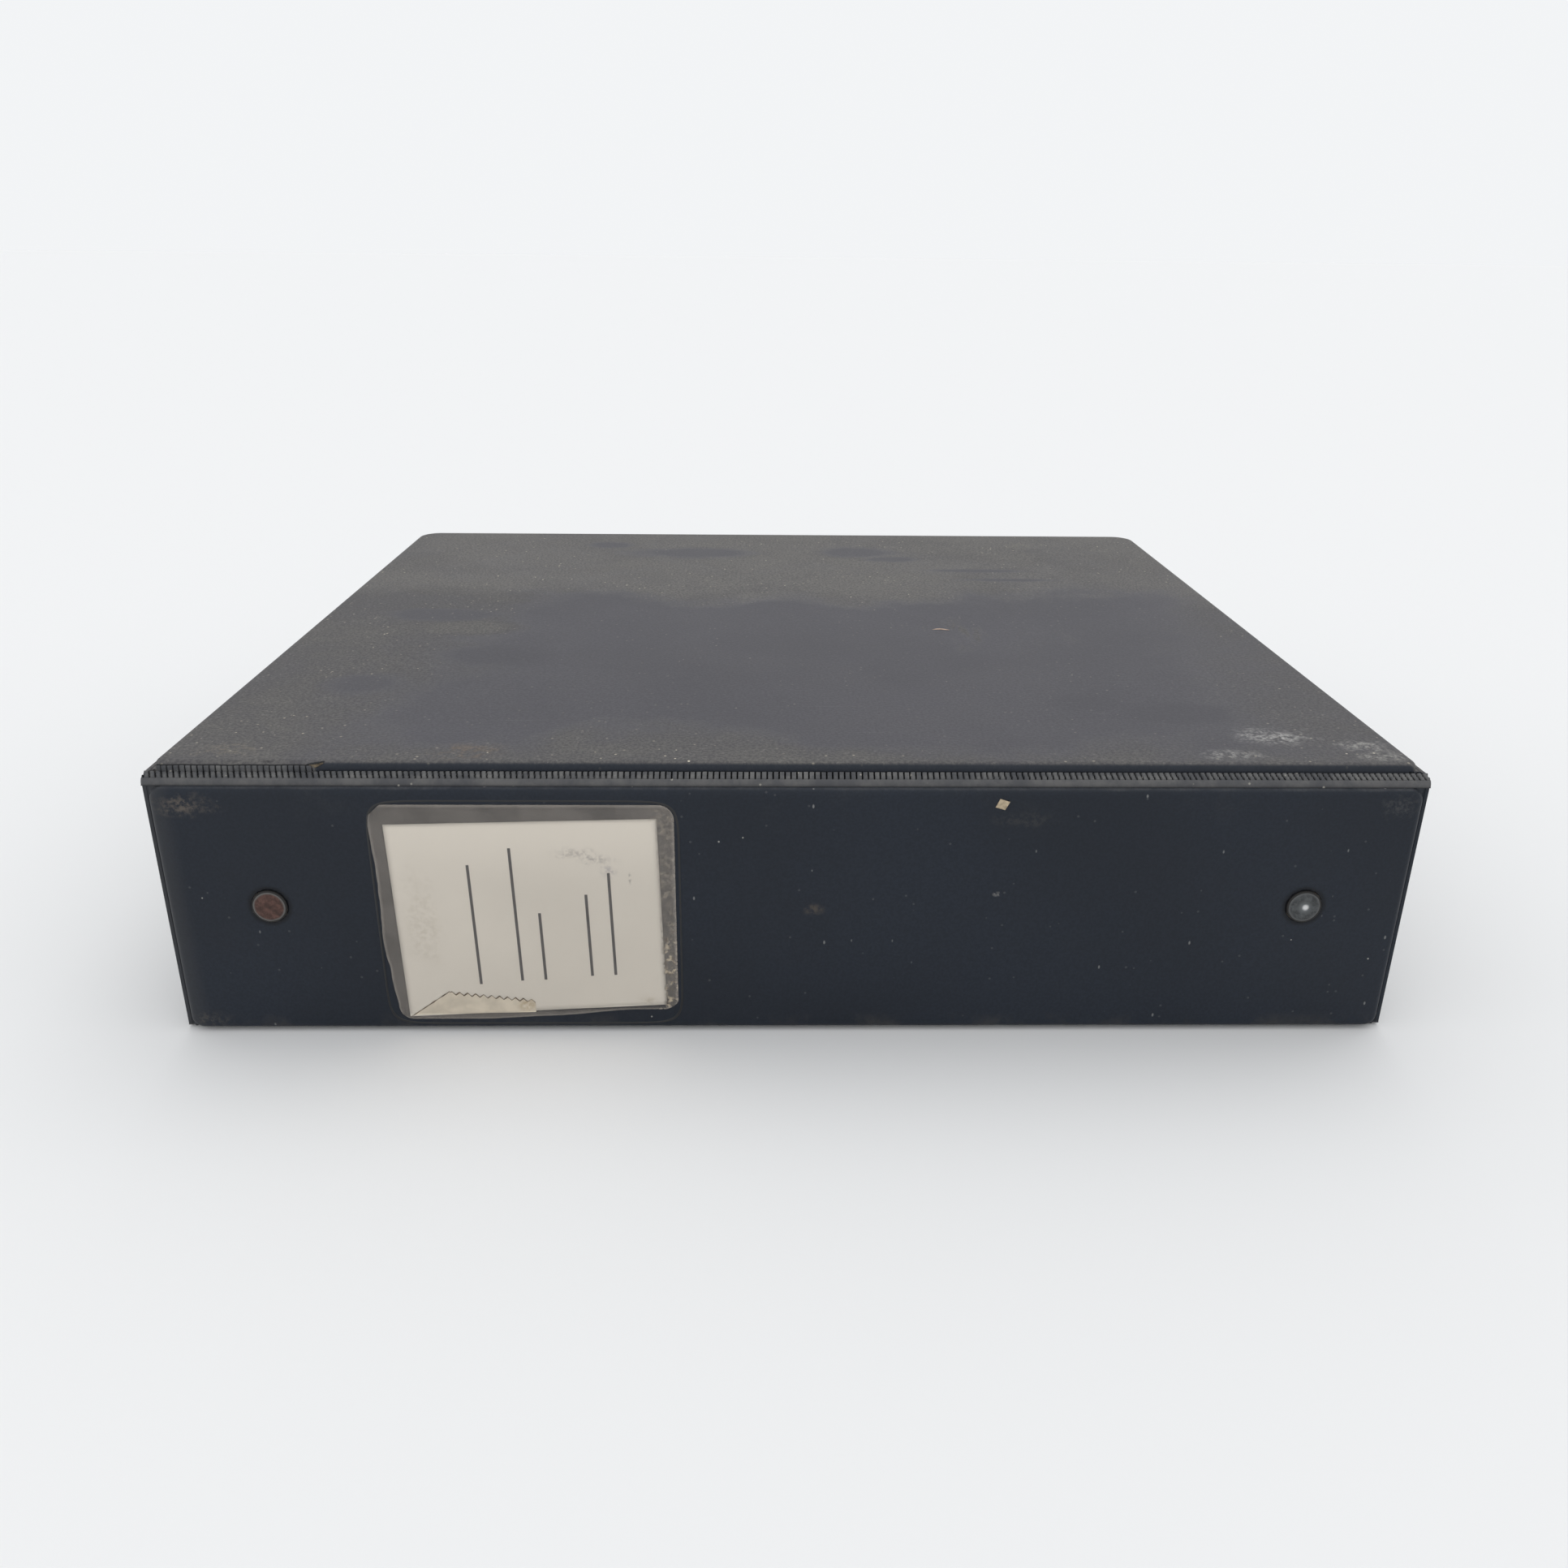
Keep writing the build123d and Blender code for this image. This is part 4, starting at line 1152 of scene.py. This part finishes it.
class BINDER_OT_rivets(bpy.types.Operator):
    """Crowned faces of the two rivets: the left one rusted, the right one with a painted highlight in the
    middle
    """
    bl_idname = "binder.rivets"
    bl_label = "Rivets"

    def execute(self, context):
        s = sizes()
        middle = s["thickness"] / 2
        r = s["rivet_face"]
        place = s["rivet_x"]
        rusted = rivet_metal("left_rivet_metal", (-place, 0, middle), (0.075, 0.038, 0.030),
                             (0.115, 0.11, 0.105),
                             None, 0.25, 0.62)
        # The right rivet's bright middle is a painted highlight.
        highlit_rivet = rivet_metal("right_rivet_metal", (place, 0, middle), (0.058, 0.062, 0.064),
                             (0.09, 0.093, 0.095),
                             (0.62, 0.62, 0.62), 0.35, 0.55)
        for side, name, material, crown in (
                (-1, "left", rusted, [(0.0001, 0.52), (0.8, 0.515), (1.6, 0.49)]),
                (1, "right", highlit_rivet, [(0.0001, 0.40), (0.7, 0.47), (1.3, 0.52)])):
            profile = crown + [(2.4, 0.45), (3.0, 0.40), (3.5, 0.33), (r - 0.12, 0.24), (r, 0.12), (r, 0.0)]
            bm = bmesh.new()
            verts = [bm.verts.new((a, -b, 0)) for a, b in profile]
            edges = [bm.edges.new(pair) for pair in zip(verts, verts[1:])]
            bmesh.ops.spin(bm, geom=verts + edges, cent=(0, 0, 0), axis=(0, 1, 0), angle=2 * math.pi,
                           steps=48)
            bmesh.ops.remove_doubles(bm, verts=bm.verts, dist=0.002)
            for v in bm.verts:
                v.co.y += 0.03 * ripple(v.co.x, v.co.z, 0.7, side) if v.co.y < -0.2 else 0
                v.co += Vector((side * s["rivet_x"], 0.02, middle))
            bmesh.ops.recalc_face_normals(bm, faces=bm.faces)
            front_out(bm)
            new_piece(f"{name}_rivet_face", bm, material, "spine",
                      "rusted_rivet" if side < 0 else "worn_rivet")
            use_material(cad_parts[f"{name}_rivet"],
                         flat(f"{name}_rivet_side", (0.02, 0.019, 0.018), 0.7, 0.3))
        return {"FINISHED"}


class BINDER_OT_pockets(bpy.types.Operator):
    """Clear pockets inside both covers, with welded borders"""
    bl_idname = "binder.pockets"
    bl_label = "Inside pockets"

    def execute(self, context):
        s = sizes()
        material = film("pocket_film", 0.30, (0.35, 0.36, 0.38))
        for name, sign in (("front", -1), ("back", 1)):
            face = s["thickness"] - s["panel"] if name == "front" else s["panel"]

            def place(x, y, gap):
                weld = 0.2 * pressed(gap, 1.0, 0.5)
                rise = smooth(gap, 1.8, 5) * (0.12 + 0.1 * ripple(x, y, 0.03, 9))
                return Vector((x, y, face + sign * min(0.05 + weld + rise, 0.3)))

            bm = pocket_sheet(18.85, 143.85, 20, 254.8, 6, 60, 90, place)
            border = bm.verts.layers.float.new("border")
            layer = bm.verts.layers.float["rim"]
            for v in bm.verts:
                # This layer marks the film's cut edge, which the film material paints lighter as a highlight.
                v[border], v[layer] = smooth(v[layer], 0.9, 0.4), smooth(v[layer], 2.2, 1.6)
            face_up(bm, sign > 0)
            new_piece(f"{name}_pocket_film", bm, material, f"{name}_cover", "clear_film",
                      f"{name}_inside_pocket", thick=0.04)
        return {"FINISHED"}


class BINDER_OT_hardware(bpy.types.Operator):
    """Finishes of the ring metal, the boards and the other CAD nodes that stay on show"""
    bl_idname = "binder.hardware"
    bl_label = "Ring metal and boards"

    def execute(self, context):
        steel = tint("steel")
        plated = flat("plated_steel", steel, 0.28, 1.0, mottle=0.06, scale=60)
        nickel = flat("ring_nickel", scaled(steel, 1.25), 0.2, 1.0, mottle=0.04, scale=90)
        board = flat("chipboard", (0.30, 0.24, 0.17), 0.9, mottle=0.2, scale=400)
        for name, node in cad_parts.items():
            material = None
            if any(part in name for part in ("ring_cover", "blade", "lever", "post")):
                material = plated
            elif "_ring_" in name:
                material = nickel
            elif name.endswith("_board"):
                material = board
            if material:
                use_material(node, material)
        return {"FINISHED"}


class BINDER_OT_stage(bpy.types.Operator):
    """Pale floor, soft studio light and the camera"""
    bl_idname = "binder.stage"
    bl_label = "Stage"

    def execute(self, context):
        scene = context.scene
        bm = bmesh.new()
        bmesh.ops.create_circle(bm, cap_ends=True, segments=96, radius=40)
        mesh = bpy.data.meshes.new("studio_floor")
        bm.to_mesh(mesh)
        bm.free()
        g = Graph("studio_floor")
        mesh.materials.append(g.finish(tint("floor"), 0.8, specular=0.1))
        floor = bpy.data.objects.new("studio_floor", mesh)
        scene.collection.objects.link(floor)

        world = bpy.data.worlds.new("studio")
        world.use_nodes = True
        background = world.node_tree.nodes["Background"]
        background.inputs["Color"].default_value = (0.97, 0.985, 1.0, 1)
        background.inputs["Strength"].default_value = 0.92
        scene.world = world

        for name, place, strength, spread in (("overhead", (0.5, 0.9, 3.0), 0.42, 50),
                                              ("front_fill", (-0.8, -2.4, 1.3), 0.12, 60)):
            light = bpy.data.lights.new(name, "SUN")
            light.energy, light.angle = strength, math.radians(spread)
            obj = bpy.data.objects.new(name, light)
            obj.rotation_euler = (-Vector(place)).to_track_quat("-Z", "Y").to_euler()
            scene.collection.objects.link(obj)

        pitch, yaw, roll = math.radians(22.59), math.radians(1.21), math.radians(0.58)
        ahead = Vector((math.sin(yaw) * math.cos(pitch), math.cos(yaw) * math.cos(pitch), -math.sin(pitch)))
        right = Vector((math.cos(yaw), -math.sin(yaw), 0))
        up = right.cross(ahead)
        right, up = math.cos(roll) * right + math.sin(roll) * up, math.cos(roll) * up - math.sin(roll) * right
        data = bpy.data.cameras.new("camera")
        data.sensor_width, data.lens = 36, 29.46
        data.clip_start, data.clip_end = 0.01, 100
        camera = bpy.data.objects.new("camera", data)
        turn = Matrix((right, up, -ahead)).transposed().to_4x4()
        camera.matrix_world = Matrix.Translation(row_point(-7.5, -266.0, 176.0)) @ turn
        scene.collection.objects.link(camera)
        scene.camera = camera
        scene.view_settings.view_transform = "Standard"
        return {"FINISHED"}


class BINDER_PT_panel(bpy.types.Panel):
    """Sizes, colours and the build steps"""
    bl_idname = "BINDER_PT_panel"
    bl_label = "Ring binder"
    bl_space_type = "VIEW_3D"
    bl_region_type = "UI"
    bl_category = "Binder"

    def draw(self, context):
        settings = context.scene.ring_binder
        for group in (settings.sizes, settings.colours):
            box = self.layout.box()
            for name in group.__annotations__:
                box.prop(group, name)
        for operator in OPERATORS:
            self.layout.operator(operator.bl_idname)


OPERATORS = (BINDER_OT_panels, BINDER_OT_liners, BINDER_OT_hinges, BINDER_OT_torn_lip, BINDER_OT_label,
             BINDER_OT_debris, BINDER_OT_rivets, BINDER_OT_pockets, BINDER_OT_hardware, BINDER_OT_stage)
CLASSES = (BinderSizes, BinderColours, BinderSettings, *OPERATORS, BINDER_PT_panel)


def register():
    for cls in CLASSES:
        bpy.utils.register_class(cls)
    bpy.types.Scene.ring_binder = PointerProperty(type=BinderSettings)


def unregister():
    del bpy.types.Scene.ring_binder
    for cls in reversed(CLASSES):
        bpy.utils.unregister_class(cls)


def main():
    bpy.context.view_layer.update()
    register()
    for operator in OPERATORS:
        group, name = operator.bl_idname.split(".")
        getattr(getattr(bpy.ops, group), name)()


if __name__ == "__main__":
    main()
